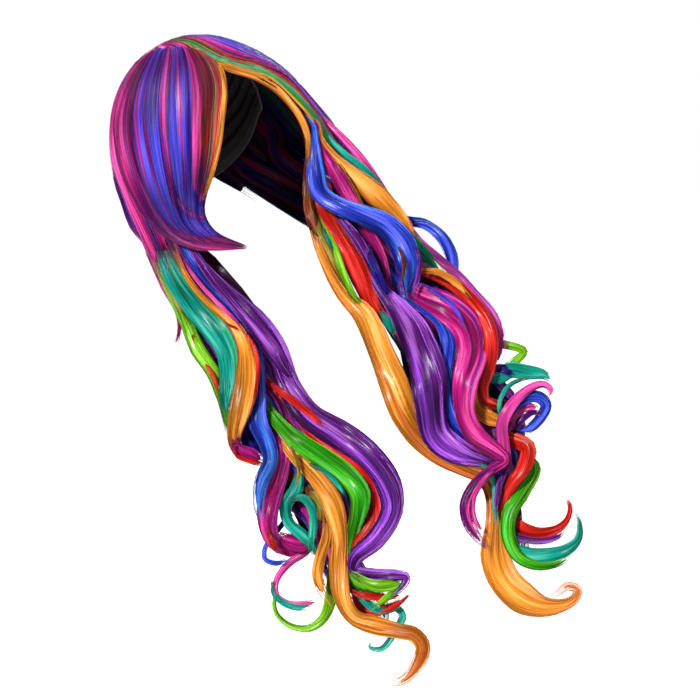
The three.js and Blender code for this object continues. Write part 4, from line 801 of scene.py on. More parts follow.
def heart(form, first, last, sheet):
    """The solid middle of a form, which stops short of its root and tip and thins out there."""
    rings, across = form
    rows = len(rings)
    low, high = round(first * (rows - 1)), round(last * (rows - 1))
    kept = rings[low:high + 1].copy()
    middle = (kept + kept[:, ::-1]) / 2 if sheet else kept.mean(axis=1, keepdims=True)
    share = np.linspace(0, 1, len(kept))
    swelling = share / HEART_ROOT[0] + HEART_ROOT[1]
    thinning = (1 - share) / HEART_TIP[0] + HEART_TIP[1]
    slim = np.clip(np.minimum(swelling, thinning), 0, 1) ** HEART_ROUNDING
    kept = middle + (kept - middle) * slim[:, None, None]
    return kept, across[low:high + 1]


def edge_turn(edge, height):
    """The turn at which a sheet of the dome ends, at a height."""
    if edge == "front edge":
        return np.interp(-height, -FRONT_EDGE[:, 0], FRONT_EDGE[:, 1])
    if edge in ("nape right", "nape left"):
        aside = np.interp(-height, -NAPE_PARTING[:, 0], NAPE_PARTING[:, 1])
        return 180 - aside if edge == "nape right" else 180 + aside
    if edge == "parting":
        return 360 + edge_turn("front edge", height)
    return edge


def dome_form(turns, hems, feather):
    """The rings of a sheet of hair that falls from the crown to a hem."""
    columns, rows = 36, 34
    heights = DOME_CURVE[::-1, 0]
    strides = np.hypot(np.diff(DOME_CURVE[::-1, 1]), np.diff(heights))
    lengths = np.concatenate([[0], np.cumsum(strides)])
    outer = np.zeros((rows + 1, columns + 1, 3))
    inner = np.zeros_like(outer)
    across = np.zeros((rows + 1, columns + 1))
    for c in range(columns + 1):
        share = c / columns
        ragged = sum(size * math.sin(2 * math.pi * count * share + start)
                     for count, size, start in HEM_WAVES)
        hem = np.interp(share, np.linspace(0, 1, len(hems)), hems)
        hem = hem - feather * (HEM_DROP + HEM_RAGGED * ragged)
        whole = np.interp(-hem, -heights, lengths)
        for r in range(rows + 1):
            height = np.interp(whole * r / rows, lengths, heights)
            start, end = (edge_turn(edge, height) for edge in turns)
            crowding = FRONT_CROWDING * (turns[0] == "front edge")
            crowded = 1 + crowding * eased(*FRONT_CROWDED, height)
            turn = start + (end - start) * share ** crowded
            near_top = min(1.0, dome_sizes(height)[0] / DOME_FOLD_WIDTH)
            fold = DOME_FOLD * near_top * (1 - math.cos(2 * math.pi * turn / DOME_FOLD_STEP)) / 2
            thick = SIDE_THICKNESS * min(1.0, 1 + HEM_THICKNESS - r / rows)
            on_top = max(0.0, (height - CROWN_HEM) / (HAIR_DOME[0, 0] - CROWN_HEM))
            outer[r, c] = on_dome(turn, height, fold)
            inner[r, c] = on_dome(turn, height, thick) - on_top * CROWN_SUNK * UP
            across[r, c] = share
    return walled(outer, inner, across)


def bang_form():
    """The rings of the bang, between its two drawn edges on the front of the dome."""
    columns = 30
    steps = 4
    outer_edge = smooth_path([(a, h, 0) for a, h in BANG_OUTER], steps)
    inner_edge = smooth_path([(a, h, 0) for a, h in BANG_INNER], steps)
    rows = len(outer_edge) - 1
    outer = np.zeros((rows + 1, columns + 1, 3))
    inner = np.zeros_like(outer)
    across = np.zeros((rows + 1, columns + 1))
    for r in range(rows + 1):
        for c in range(columns + 1):
            share = c / columns
            drawn = outer_edge[r] + (inner_edge[r] - outer_edge[r]) * share
            down = r / rows
            arch = BANG_ARCH * math.sin(math.pi * share) * (1 - eased(0, BANG_ARCH_END, down))
            point = laid_on_dome(drawn[0], drawn[1] + arch)
            inward = unit(np.array([-point[0], -point[1], -max(0.0, point[2] - CROWN_HEM)]))
            middle = math.sin(math.pi * share) * min(1.0, (rows - r) / (BANG_TAPER * rows))
            wave = math.cos(2 * math.pi * BANG_FOLDS * share + BANG_FOLD_DRIFT * down)
            fold = BANG_FOLD * wave * min(1.0, down / BANG_FOLD_START)
            sunk = BANG_ROOT * (1 - eased(0, BANG_ROOT_END, down))
            outer[r, c] = point - inward * (BANG_RISE - sunk + fold * middle)
            inner[r, c] = point + inward * (
                BANG_EDGE + sunk + (BANG_THICKNESS - BANG_EDGE) * middle)
            across[r, c] = share * (1 - BANG_RUN_OFF * eased(*BANG_RUNNING, down))
    return walled(outer, inner, across)


# Meshes

def linked(name, data):
    """A new object of the scene."""
    thing = bpy.data.objects.new(name, data)
    bpy.context.collection.objects.link(thing)
    return thing


def turn_outward(mesh):
    """Turns the faces of a closed mesh outwards."""
    work = bmesh.new()
    work.from_mesh(mesh)
    bmesh.ops.recalc_face_normals(work, faces=work.faces)
    work.to_mesh(mesh)
    work.free()


def keep_values(mesh, name, values):
    """Keeps a value on each point of a mesh."""
    mesh.attributes.new(name, "FLOAT", "POINT").data.foreach_set("value", values)


def form_object(name, rings, across):
    """A closed mesh of the rings, with the way the fibres run and the outward direction on it."""
    rows, sides = rings.shape[:2]
    faces = [(r * sides + s, r * sides + (s + 1) % sides,
              (r + 1) * sides + (s + 1) % sides, (r + 1) * sides + s)
             for r in range(rows - 1) for s in range(sides)]
    ends = [tuple(range(sides))[::-1], tuple(range((rows - 1) * sides, rows * sides))]
    mesh = bpy.data.meshes.new(name)
    mesh.from_pydata((rings.reshape(-1, 3) * MM).tolist(), [], faces + ends)
    turn_outward(mesh)
    corners = np.array([loop.vertex_index for loop in mesh.loops])
    sideways = len(faces) * 4
    r, s = corners[:sideways] // sides, corners[:sideways] % sides
    face_side = np.repeat(np.arange(len(faces)) % sides, 4)
    s = np.where((face_side == sides - 1) & (s == 0), sides, s)
    flow = np.full((len(corners), 2), -1.0)
    flow[:sideways, 0] = s / sides
    flow[:sideways, 1] = r / (rows - 1)
    mesh.uv_layers.new(name="flow").data.foreach_set("uv", flow.ravel())
    outward = np.array([v.normal for v in mesh.vertices]).ravel()
    mesh.attributes.new("outward", "FLOAT_VECTOR", "POINT").data.foreach_set("vector", outward)
    keep_values(mesh, "band", abs(across).ravel())
    # The inside of the hair, which the fibres' shader darkens with painted shade
    keep_values(mesh, "inside", (across < 0).astype(float).ravel())
    return linked(name, mesh)


def on_cap(turn, height, stand_off):
    """A point of the inside of the cap, or that far off it, at a turn from the front."""
    above = max(0.0, height - CAP_WIDEST) / -CAP_WIDEST
    below = max(0.0, CAP_WIDEST - height) * NAPE_SLOPE
    share = math.sqrt(max(0.0, 1 - above * above))
    facing = math.cos(math.radians(turn))
    half, depth = [(size + stand_off) * share - below
                   for size in (CAP_HALF_WIDTH, CAP_FRONT if facing > 0 else CAP_BACK)]
    return np.array([half * math.sin(math.radians(turn)), -depth * facing,
                     height + stand_off * above])


def cap_profile(rows):
    """For each row down the cap: the share of the hem's height, the seams, the binding, the walls."""
    share = np.arange(rows + 1) / rows
    lean = CAP_ROUNDNESS * (1 - np.cos(share * math.pi / 2)) + (1 - CAP_ROUNDNESS) * share
    seams = eased(*SEAM_RISE, 0.5 - 0.5 * np.cos(2 * math.pi * CAP_SEAMS * share))
    seams = seams * (share < CAP_BINDING)
    binding = eased(CAP_BINDING, CAP_BINDING + BINDING_EDGE, share)
    walls = (CAP_WALL + BINDING_WALL * binding, SEAM_HEIGHT * (1 - np.maximum(seams, binding)))
    return lean, seams, binding, walls


def cap_object():
    """The cap: a thin shell with the seams of the hair round its inside, and a bound hem."""
    columns, rows = 96, 88
    top = -0.02  # how high the first ring lies, just under the very top
    wide, tall = 0.46, 0.96  # the part of its half of the map that each wall takes up
    rim_start, rim_tall = 0.97, 0.02  # and the rim
    around = ((0, 0), (0, 1), (1, 1), (1, 0))
    hem_curve = smooth_path(CAP_HEM, 10)
    lean, seams, binding, walls = cap_profile(rows)
    points, faces, corners = [], [], []
    for side, wall in enumerate(walls):
        first = len(points)
        for r in range(rows + 1):
            for c in range(columns):
                turn = 360 * c / columns
                hem = np.interp(min(turn, 360 - turn), hem_curve[:, 0], hem_curve[:, 1])
                points.append(on_cap(turn, min(top, hem * lean[r]), wall[r]) * MM)
        for r in range(rows):
            for c in range(columns):
                here, after = first + r * columns, first + (r + 1) * columns
                faces.append((here + c, after + c, after + (c + 1) % columns,
                              here + (c + 1) % columns))
                corners += [(wide * (c + a) / columns + 0.5 * side, (r + b) / rows * tall)
                            for a, b in around]
        faces.append(tuple(range(first, first + columns)))
        corners += [(wide * c / columns + 0.5 * side, 0.0) for c in range(columns)]
    outer = rows * columns
    inner = len(points) // 2 + outer
    for c in range(columns):
        beside = (c + 1) % columns
        faces.append((outer + c, inner + c, inner + beside, outer + beside))
        corners += [(wide * (c + a) / columns, rim_start + rim_tall * b) for a, b in around]
    mesh = bpy.data.meshes.new("cap net")
    mesh.from_pydata([tuple(point) for point in points], [], faces)
    mesh.uv_layers.new(name="OFBake").data.foreach_set("uv", np.ravel(corners))
    for name, values in (("seam", seams), ("binding", binding)):
        keep_values(mesh, name, np.tile(np.repeat(values, columns), 2))
    turn_outward(mesh)
    mesh.shade_smooth()
    mesh.materials.append(net_material())
    return linked("cap.net", mesh)


# Nodes

def add(tree, kind, sockets=None, **settings):
    """A new node with these settings, its sockets filled or linked by identifier."""
    node = tree.nodes.new(kind)
    for key, value in settings.items():
        setattr(node, key, value)
    for key, value in (sockets or {}).items():
        socket = next(s for s in node.inputs if s.identifier == key)
        if isinstance(value, bpy.types.NodeSocket):
            tree.links.new(value, socket)
        else:
            socket.default_value = value
    return node


def sum_of(tree, operation, *values):
    """The result of a sum on up to three values."""
    keys = ("Value", "Value_001", "Value_002")
    return add(tree, "ShaderNodeMath", dict(zip(keys, values)), operation=operation).outputs[0]


def ranged(tree, value, start, end, low=0.0, high=1.0):
    """A result that goes from low to high while the value goes from start to end."""
    return add(tree, "ShaderNodeMapRange", {
        "Value": value, "From Min": start, "From Max": end, "To Min": low,
        "To Max": high}).outputs["Result"]


def place_of(tree, x, y, z=0.0):
    """A place from its three values."""
    return add(tree, "ShaderNodeCombineXYZ", {"X": x, "Y": y, "Z": z}).outputs[0]


def named(tree, name, kind="FLOAT"):
    """A value kept on a geometry."""
    return add(tree, "GeometryNodeInputNamedAttribute", {"Name": name}, data_type=kind).outputs[0]


def keep(tree, geometry, name, value, domain, kind="FLOAT"):
    """The geometry with a value kept on it."""
    return add(tree, "GeometryNodeStoreNamedAttribute",
               {"Geometry": geometry, "Name": name, "Value": value},
               data_type=kind, domain=domain).outputs[0]


STRAND_INPUTS = [
    ("Guide", "NodeSocketObject"), ("Strands", "NodeSocketInt"), ("Points", "NodeSocketInt"),
    ("Radius", "NodeSocketFloat"), ("Lift", "NodeSocketFloat"), ("Stray", "NodeSocketFloat"),
    ("Wander", "NodeSocketFloat"), ("Waves", "NodeSocketFloat"),
    ("Root Spread", "NodeSocketFloat"), ("Tip Spread", "NodeSocketFloat"),
    ("Girth", "NodeSocketFloat"), ("Length", "NodeSocketFloat"), ("Seed", "NodeSocketInt"),
    ("Fibre", "NodeSocketMaterial")]
RIPPLES_ACROSS = 31.0  # how many waves lie side by side across a piece
RIPPLE_STEP = 7.3  # how far apart one set of waves is taken from the next
LANE_JITTER = (0.1, 0.9)  # where in its lane a strand may lie
LIFT_SPREAD = (-0.35, 0.65)  # how far a strand is lifted, as a share of the lift
LOOSE_POWER = 9.0  # the higher, the fewer strands are loose
COLUMN_WIDTH = 0.5  # the share of a lane that its strand takes up on the map
STRANDS_ON_MAP = 0.8  # the share of the map's width for the strands
HEART_ON_MAP = (0.18, 0.82)  # the share for the heart, and where it begins
HEART_TINT = 0.4


def laid_strands(tree, given):
    """A line for each strand, laid over the guide from root to tip, with what its shader reads."""
    line = add(tree, "GeometryNodeCurvePrimitiveLine", {"End": (0.0, 0.0, 1.0)}).outputs[0]
    line = add(tree, "GeometryNodeResampleCurve", {"Curve": line, "Count": given["Points"]}).outputs[0]
    copies = add(tree, "GeometryNodeDuplicateElements",
                 {"Geometry": line, "Amount": given["Strands"]}, domain="SPLINE")
    number = copies.outputs["Duplicate Index"]

    def drawn(low, high, turn):
        """A value drawn for each strand."""
        seed = sum_of(tree, "ADD", given["Seed"], float(turn))
        node = add(tree, "FunctionNodeRandomValue",
                   {"Min_001": low, "Max_001": high, "ID": number, "Seed": seed}, data_type="FLOAT")
        return next(s for s in node.outputs if s.identifier == "Value_001")

    def ripple(turn):
        """A slow wave along each strand, from minus a half to a half."""
        place = place_of(tree, sum_of(tree, "MULTIPLY", lane, RIPPLES_ACROSS),
                         sum_of(tree, "MULTIPLY", length, given["Waves"]),
                         sum_of(tree, "ADD", given["Seed"], RIPPLE_STEP * turn))
        noise = add(tree, "ShaderNodeTexNoise", {"Vector": place, "Scale": 1.0, "Detail": 1.0})
        return sum_of(tree, "SUBTRACT", noise.outputs["Fac"], 0.5)

    # Where each strand begins and ends, and the lane that it wanders along
    tint = drawn(0.0, 1.0, 1)
    start = drawn(0.0, given["Root Spread"], 2)
    stop = sum_of(tree, "SUBTRACT", 1.0, drawn(0.0, given["Tip Spread"], 3))
    along = add(tree, "GeometryNodeSplineParameter").outputs["Factor"]
    length = ranged(tree, along, 0.0, 1.0, start, stop)
    jittered = sum_of(tree, "ADD", number, drawn(*LANE_JITTER, 4))
    lane = sum_of(tree, "DIVIDE", jittered, given["Strands"])
    aside = sum_of(tree, "MULTIPLY", ripple(1), given["Wander"])
    place = place_of(tree, sum_of(tree, "FRACT", sum_of(tree, "ADD", lane, aside)), length)
    guide = add(tree, "GeometryNodeObjectInfo", {"Object": given["Guide"]}).outputs["Geometry"]

    def on_guide(value, kind="FLOAT"):
        """What the guide has where the strand lies."""
        return add(tree, "GeometryNodeSampleUVSurface", {
            "Mesh": guide, "Value": value, "Source UV Map": named(tree, "flow", "FLOAT_VECTOR"),
            "Sample UV": place}, data_type=kind).outputs[0]

    # The strands lie on the guide, lifted a little, a few of them loose
    here = on_guide(add(tree, "GeometryNodeInputPosition").outputs[0], "FLOAT_VECTOR")
    outward = on_guide(named(tree, "outward", "FLOAT_VECTOR"), "FLOAT_VECTOR")
    loose = sum_of(tree, "POWER", drawn(0.0, 1.0, 5), LOOSE_POWER)
    lift = sum_of(tree, "ADD", drawn(*LIFT_SPREAD, 6), ripple(2))
    stray = sum_of(tree, "MULTIPLY", given["Stray"], sum_of(tree, "ABSOLUTE", ripple(3)))
    flown = sum_of(tree, "MULTIPLY", sum_of(tree, "MULTIPLY", loose, length), stray)
    height = sum_of(tree, "ADD", sum_of(tree, "MULTIPLY", given["Lift"], lift), flown)
    rise = add(tree, "ShaderNodeVectorMath", {"Vector": outward, "Scale": height},
               operation="SCALE").outputs[0]
    strands = add(tree, "GeometryNodeSetPosition", {
        "Geometry": copies.outputs["Geometry"], "Position": here, "Offset": rise}).outputs[0]
    for name, value in (("tint", tint), ("lane", lane), ("along", length),
                        ("band", on_guide(named(tree, "band"))),
                        ("inside", on_guide(named(tree, "inside")))):
        strands = keep(tree, strands, name, value, "POINT")
    return strands


def strand_tubes(tree, given, strands):
    """The strands as thin tubes with tapered tips, each with its own column of the map."""
    along = add(tree, "GeometryNodeSplineParameter").outputs["Factor"]
    near_tip = sum_of(tree, "MULTIPLY", 1 / TAPER_LENGTH, sum_of(tree, "SUBTRACT", 1.0, along))
    tapered = sum_of(tree, "MINIMUM", 1.0, near_tip)
    share = sum_of(tree, "MULTIPLY_ADD", tapered, 1 - TAPER_END, TAPER_END)
    section = add(tree, "GeometryNodeCurvePrimitiveCircle",
                  {"Resolution": STRAND_SIDES, "Radius": 1.0}).outputs[0]
    corner = add(tree, "GeometryNodeInputIndex").outputs[0]
    side = sum_of(tree, "DIVIDE", corner, float(STRAND_SIDES))
    tubes = add(tree, "GeometryNodeCurveToMesh", {
        "Curve": strands, "Profile Curve": keep(tree, section, "side", side, "POINT"),
        "Scale": sum_of(tree, "MULTIPLY", given["Radius"], share), "Fill Caps": True}).outputs[0]
    step = sum_of(tree, "DIVIDE", COLUMN_WIDTH, given["Strands"])
    aside = sum_of(tree, "MULTIPLY", named(tree, "side"), step)
    column = sum_of(tree, "ADD", named(tree, "lane"), aside)
    spread = place_of(tree, sum_of(tree, "MULTIPLY", STRANDS_ON_MAP, column), named(tree, "along"))
    return keep(tree, tubes, "OFBake", spread, "CORNER", "FLOAT2")


def heart_under(tree, given):
    """The solid middle under the strands, which has the rest of the map."""
    flow = add(tree, "ShaderNodeSeparateXYZ", {"Vector": named(tree, "flow", "FLOAT_VECTOR")}).outputs
    under = given["Heart"]
    for name, value in (("tint", HEART_TINT), ("lane", flow["X"]), ("along", flow["Y"])):
        under = keep(tree, under, name, value, "CORNER")
    beside = place_of(tree, sum_of(tree, "MULTIPLY_ADD", flow["X"], *HEART_ON_MAP), flow["Y"])
    return keep(tree, under, "OFBake", beside, "CORNER", "FLOAT2")


def strand_tree():
    """Strands over a guide and the heart under them, with lanes and lengths in millimetres."""
    tree = bpy.data.node_groups.new("strands over a form", "GeometryNodeTree")
    tree.interface.new_socket("Heart", in_out="INPUT", socket_type="NodeSocketGeometry")
    for name, kind in STRAND_INPUTS:
        tree.interface.new_socket(name, in_out="INPUT", socket_type=kind)
    tree.interface.new_socket("Hair", in_out="OUTPUT", socket_type="NodeSocketGeometry")
    given = tree.nodes.new("NodeGroupInput").outputs
    tubes = strand_tubes(tree, given, laid_strands(tree, given))
    join = tree.nodes.new("GeometryNodeJoinGeometry")
    for part in (heart_under(tree, given), tubes):
        tree.links.new(part, join.inputs[0])
    hair = join.outputs[0]
    for name, size in (("lane", "Girth"), ("along", "Length")):
        scaled = sum_of(tree, "MULTIPLY", named(tree, name), given[size])
        hair = keep(tree, hair, name, scaled, "CORNER")
    hair = add(tree, "GeometryNodeSetShadeSmooth", {"Geometry": hair}).outputs[0]
    hair = add(tree, "GeometryNodeRealizeInstances", {"Geometry": hair}).outputs[0]
    hair = add(tree, "GeometryNodeSetMaterial",
               {"Geometry": hair, "Material": given["Fibre"]}).outputs[0]
    tree.links.new(hair, tree.nodes.new("NodeGroupOutput").inputs[0])
    return tree


STRANDS = strand_tree()
SOCKETS = {item.name: item.identifier for item in STRANDS.interface.items_tree
           if item.in_out == "INPUT"}


def dress(name, form, middle, values):
    """A finished piece: strands along the form, and the middle under them, as one plain mesh."""
    guide = form_object(name + ".guide", *form)
    base = form_object(name + ".heart", *middle)
    modifier = base.modifiers.new("strands", "NODES")
    modifier.node_group = STRANDS
    for key, value in {**values, "Guide": guide}.items():
        modifier[SOCKETS[key]] = value
    depsgraph = bpy.context.evaluated_depsgraph_get()
    mesh = bpy.data.meshes.new_from_object(
        base.evaluated_get(depsgraph), preserve_all_data_layers=True, depsgraph=depsgraph)
    base.modifiers.remove(modifier)
    bpy.data.objects.remove(base)
    bpy.data.objects.remove(guide)
    for spare in ("flow", "outward", "side"):
        if spare in mesh.attributes:
            mesh.attributes.remove(mesh.attributes[spare])
    mesh.name = name
    return linked(name + ".hair", mesh)


# Materials

def colour(code):
    """A fibre colour, from its six-figure code, as the shader takes it."""
    parts = [int(code[i:i + 2], 16) / 255 for i in (0, 2, 4)]
    return tuple(c / 12.92 if c <= 0.04045 else ((c + 0.055) / 1.055) ** 2.4 for c in parts) + (1.0,)


def attribute(tree, name):
    """A value that the piece keeps on its points."""
    return add(tree, "ShaderNodeAttribute", attribute_name=name).outputs["Fac"]


def mixed(tree, blend, factor, first, second):
    """Two colours mixed."""
    node = add(tree, "ShaderNodeMix", {
        "Factor_Float": factor, "A_Color": first, "B_Color": second},
        data_type="RGBA", blend_type=blend)
    return next(s for s in node.outputs if s.identifier == "Result_Color")


def streaks(group, width, length, detail):
    """Noise drawn out along the fibres: the width and length of a streak in millimetres."""
    place = place_of(group, sum_of(group, "DIVIDE", attribute(group, "lane"), width),
                     sum_of(group, "DIVIDE", attribute(group, "along"), length))
    return add(group, "ShaderNodeTexNoise", {"Vector": place, "Scale": 1.0, "Detail": detail},
               noise_dimensions="2D").outputs["Fac"]


def stretch(group, start, end, low, high):
    """A value that changes along the fibres, between two lengths from the root."""
    return ranged(group, attribute(group, "along"), start, end, low, high)


def own_colour(group, given):
    """The fibres' colour, with single strands and tufts of the odd colour among them."""
    tint = attribute(group, "tint")
    shuffled = sum_of(group, "FRACT", sum_of(group, "MULTIPLY", tint, TINT_SHUFFLE))
    odd = sum_of(group, "LESS_THAN", shuffled, given["Odd Share"])
    least = sum_of(group, "MULTIPLY_ADD", given["Odd Share"], *TUFT_LEAST)
    tuft = ranged(group, streaks(group, *TUFTS), least, sum_of(group, "ADD", least, TUFT_EDGE))
    odd = sum_of(group, "MAXIMUM", odd, sum_of(group, "MULTIPLY", tuft, TUFT_STRENGTH))
    return mixed(group, "MIX", odd, given["Colour"], given["Odd Colour"])


def toned(group, given, own, tone):
    """The colour of a fibre by its random tone: dark in painted shade among others, pale with a
    painted highlight on top of them.
    """
    # Painted shade at the dark end of the tone, and a painted highlight, brightened and whitened, at
    # the pale end
    dark = mixed(group, "MULTIPLY", given["Shade"], own, IN_SHADE)
    bright = add(group, "ShaderNodeVectorMath", {"Vector": own, "Scale": given["Highlight Gain"]},
                 operation="SCALE").outputs[0]
    pale = mixed(group, "MIX", given["Highlight Whiteness"], bright, HIGHLIGHT_WHITE)
    body = mixed(group, "MIX", ranged(group, tone, -TONE_REACH, 0.0), dark, own)
    return mixed(group, "MIX", ranged(group, tone, 0.0, TONE_REACH), body, pale)


def under_painted_shade(group, fibre, share, code):
    """The fibre darkened with painted shade, as in the shade of those over it, where they let that
    colour through.
    """
    deep = mixed(group, "MULTIPLY", 1.0, fibre, DEEP_SHADE)
    through = mixed(group, "MIX", SHADE_COLOUR, deep, colour(code))
    return mixed(group, "MIX", share, fibre, through)


def shaded(group, given, fibre):
    """The fibre darkened with painted shade near its root, but for the parting, above its tip and on
    the inside.
    """
    # Painted shade near the root, less of it at the parting itself
    root_start = sum_of(group, "MULTIPLY", given["Dark Root"], ROOT_FADE)
    fading = stretch(group, root_start, given["Dark Root"], given["Root Depth"], 0.0)
    parting = stretch(group, *PARTING_LENGTHS, PARTING_SHARE, 1.0)
    fibre = under_painted_shade(group, fibre, sum_of(group, "MULTIPLY", fading, parting), ROOT_SHADE)
    # Painted shade above the tip
    darkest, fades, faded = [sum_of(group, "ADD", given["Dark Tip"], length) for length in TIP_LENGTHS]
    tip = sum_of(group, "MULTIPLY", stretch(group, given["Dark Tip"], darkest, 0.0, TIP_DARKEST),
                 stretch(group, fades, faded, 1.0, TIP_LEFT))
    fibre = under_painted_shade(group, fibre, tip, TIP_SHADE)
    # Painted shade on the inside of the hair
    inward = sum_of(group, "MULTIPLY", attribute(group, "inside"), INSIDE_SHADE)
    return mixed(group, "MULTIPLY", inward, fibre, IN_HOLLOW)


def fibre_group():
    """Fibres side by side: each a little darker in painted shade or paler with a painted highlight
    than the next, some of another colour.
    """
    group = bpy.data.node_groups.new("fibre streaks", "ShaderNodeTree")
    for name, kind in (("Colour", "Color"), ("Odd Colour", "Color"), ("Odd Share", "Float"),
                       ("Shade", "Float"), ("Highlight Gain", "Float"), ("Highlight Whiteness", "Float"),
                       ("Dark Root", "Float"), ("Root Depth", "Float"), ("Dark Tip", "Float"),
                       ("Dull Root", "Float")):
        group.interface.new_socket(name, in_out="INPUT", socket_type="NodeSocket" + kind)
    for name, kind in (("Colour", "Color"), ("Roughness", "Float"), ("Grain", "Float")):
        group.interface.new_socket(name, in_out="OUTPUT", socket_type="NodeSocket" + kind)
    given = group.nodes.new("NodeGroupInput").outputs
    grain = streaks(group, *GRAIN)
    parts = (attribute(group, "tint"), streaks(group, *BROAD_STREAKS),
             streaks(group, *NARROW_STREAKS), grain)
    tone = 0.0
    for part, weight in zip(parts, TONE_WEIGHTS):
        tone = sum_of(group, "MULTIPLY_ADD", sum_of(group, "SUBTRACT", part, 0.5), weight, tone)
    fibre = shaded(group, given, toned(group, given, own_colour(group, given), tone))
    rough = ranged(group, tone, -TONE_REACH, TONE_REACH, DARK_ROUGHNESS, PALE_ROUGHNESS)
    dulled = [sum_of(group, "MULTIPLY", given["Dark Root"], share) for share in DULL_SHARES]
    dull = stretch(group, *dulled, given["Dull Root"], 0.0)
    out = group.nodes.new("NodeGroupOutput")
    for name, value in (("Colour", fibre), ("Roughness", sum_of(group, "ADD", rough, dull)),
                        ("Grain", grain)):
        group.links.new(value, out.inputs[name])
    return group


FIBRE_STREAKS = fibre_group()


def fibre_material(name, code, shade, bright, pale, odd, share, root=LOCK_ROOT, tip=NO_DARK_TIP,
                   dull=0.0, depth=ROOT_DEPTH):
    """A satin synthetic fibre of one colour, darkened with painted shade up to a length from its root
    and at its tip.
    """
    material = bpy.data.materials.new(name)
    material.use_nodes = True
    tree = material.node_tree
    bsdf = tree.nodes["Principled BSDF"]
    group = add(tree, "ShaderNodeGroup", node_tree=FIBRE_STREAKS)
    values = {"Odd Colour": colour(odd), "Odd Share": share, "Shade": shade,
              "Highlight Gain": bright, "Highlight Whiteness": pale, "Dark Root": root, "Dark Tip": tip,
              "Dull Root": dull, "Root Depth": depth}
    if code:
        values["Colour"] = colour(code)
    for key, value in values.items():
        group.inputs[key].default_value = value
    tree.links.new(group.outputs["Colour"], bsdf.inputs["Base Color"])
    tree.links.new(group.outputs["Roughness"], bsdf.inputs["Roughness"])
    bump = add(tree, "ShaderNodeBump", {
        "Height": group.outputs["Grain"], "Distance": GRAIN_DEPTH, "Strength": GRAIN_STRENGTH})
    tree.links.new(bump.outputs["Normal"], bsdf.inputs["Normal"])
    bsdf.inputs["Specular IOR Level"].default_value = SHEEN
    return material, group


def banded_material(name, bands, root, tip=NO_DARK_TIP, dull=SHEET_DULLNESS, depth=ROOT_DEPTH):
    """Satin synthetic fibres whose colour changes in bands across the piece."""
    material, group = fibre_material(name, *BANDED_FIBRE, root, tip, dull, depth)
    tree = material.node_tree
    draw = sum_of(tree, "SUBTRACT", attribute(tree, "tint"), 0.5)
    stir = sum_of(tree, "MULTIPLY", draw, BAND_STIR)
    ramp = add(tree, "ShaderNodeValToRGB", {"Fac": sum_of(tree, "ADD", attribute(tree, "band"), stir)})
    ramp.color_ramp.interpolation = "CONSTANT"
    stops = ramp.color_ramp.elements
    while len(stops) < len(bands):
        stops.new(1.0)
    for stop, (start, fibre) in zip(stops, bands):
        stop.position = start
        stop.color = colour(FIBRES[fibre][0])
    tree.links.new(ramp.outputs["Color"], group.inputs["Colour"])
    return material


def net_material():
    """Dark knitted net, with the hair's sewn rows and a ribbed binding along the hem."""
    material = bpy.data.materials.new("cap net")
    material.use_nodes = True
    tree = material.node_tree
    bsdf = tree.nodes["Principled BSDF"]
    place = add(tree, "ShaderNodeTexCoord").outputs["Object"]
    threads = [add(tree, "ShaderNodeTexWave", {
        "Vector": place, "Scale": NET_SCALE, "Distortion": NET_UNEVENNESS},
        bands_direction=way).outputs["Fac"] for way in ("X", "Z")]
    knit = sum_of(tree, "MAXIMUM", *threads)
    tone = mixed(tree, "MIX", knit, NET_GAP, NET_THREAD)
    tone = mixed(tree, "MIX", attribute(tree, "seam"), tone, NET_SEAM)
    ribs = mixed(tree, "MIX", threads[0], BINDING_GROOVE, BINDING_RIB)
    tone = mixed(tree, "MIX", attribute(tree, "binding"), tone, ribs)
    tree.links.new(tone, bsdf.inputs["Base Color"])
    bump = add(tree, "ShaderNodeBump", {
        "Height": knit, "Distance": NET_DEPTH, "Strength": NET_STRENGTH})
    tree.links.new(bump.outputs["Normal"], bsdf.inputs["Normal"])
    bsdf.inputs["Roughness"].default_value = NET_ROUGHNESS
    return material


# The hair

fibres = {name: fibre_material(name + " fibre", *values)[0] for name, values in FIBRES.items()}
backing = banded_material("backing fibres", BACKING_BANDS, BACKING_ROOT)


def girth(rings):
    """The mean length round the rings of a form."""
    return np.linalg.norm(rings - np.roll(rings, 1, axis=1), axis=2).sum(axis=1).mean()


def reach(rings):
    """The length of a form from root to tip."""
    return np.linalg.norm(np.diff(rings.mean(axis=1), axis=0), axis=1).sum()


def settings(rings, strands, points, material, seed, **changes):
    """The strand tree's values for a form."""
    values = {
        "Strands": int(strands), "Points": int(points), "Radius": STRAND_RADIUS * MM,
        "Lift": LIFT * MM, "Stray": STRAY * MM, "Wander": WANDER * 2 / girth(rings),
        "Waves": WAVES, "Root Spread": ROOT_SPREAD,
        "Tip Spread": min(TIP_SPREAD, TIP_FRAY / reach(rings)), "Girth": girth(rings),
        "Length": reach(rings), "Seed": seed, "Fibre": material}
    values.update(changes)
    return values


def finish_piece(piece, nodes):
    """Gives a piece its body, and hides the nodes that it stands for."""
    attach(piece, "root")
    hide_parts(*nodes)


# The locks
for seed, (name, shade, thickness, bends) in enumerate(LOCKS):
    folds = max(LEAST_FOLDS, round(np.mean([bend[3] for bend in bends]) / LOCK_FOLD_WIDTH))
    plain = shade == "mixed"
    lead = REAR_LEAD if len(bends[0]) == TURNED_BEND else ROOT_LEADS.get(name, ())
    form = lock_form(thickness, bends, folds, lead)
    gap = STRAND_GAP * (BACKING_GAP if plain else 1.0)
    middle = heart(form, 0.0, max(HEART_END, 1 - HEART_SHORT / reach(form[0])), False)
    piece = dress(name, form, middle, settings(
        form[0], max(LEAST_STRANDS, girth(form[0]) / gap), STRAND_POINTS * (len(bends) - 1) + 1,
        backing if plain else fibres[shade], LOCK_SEED + SEED_STEP * seed,
        Stray=STRAY * MM * (BACKING_STRAY if plain else 1.0)))
    finish_piece(piece, [name])

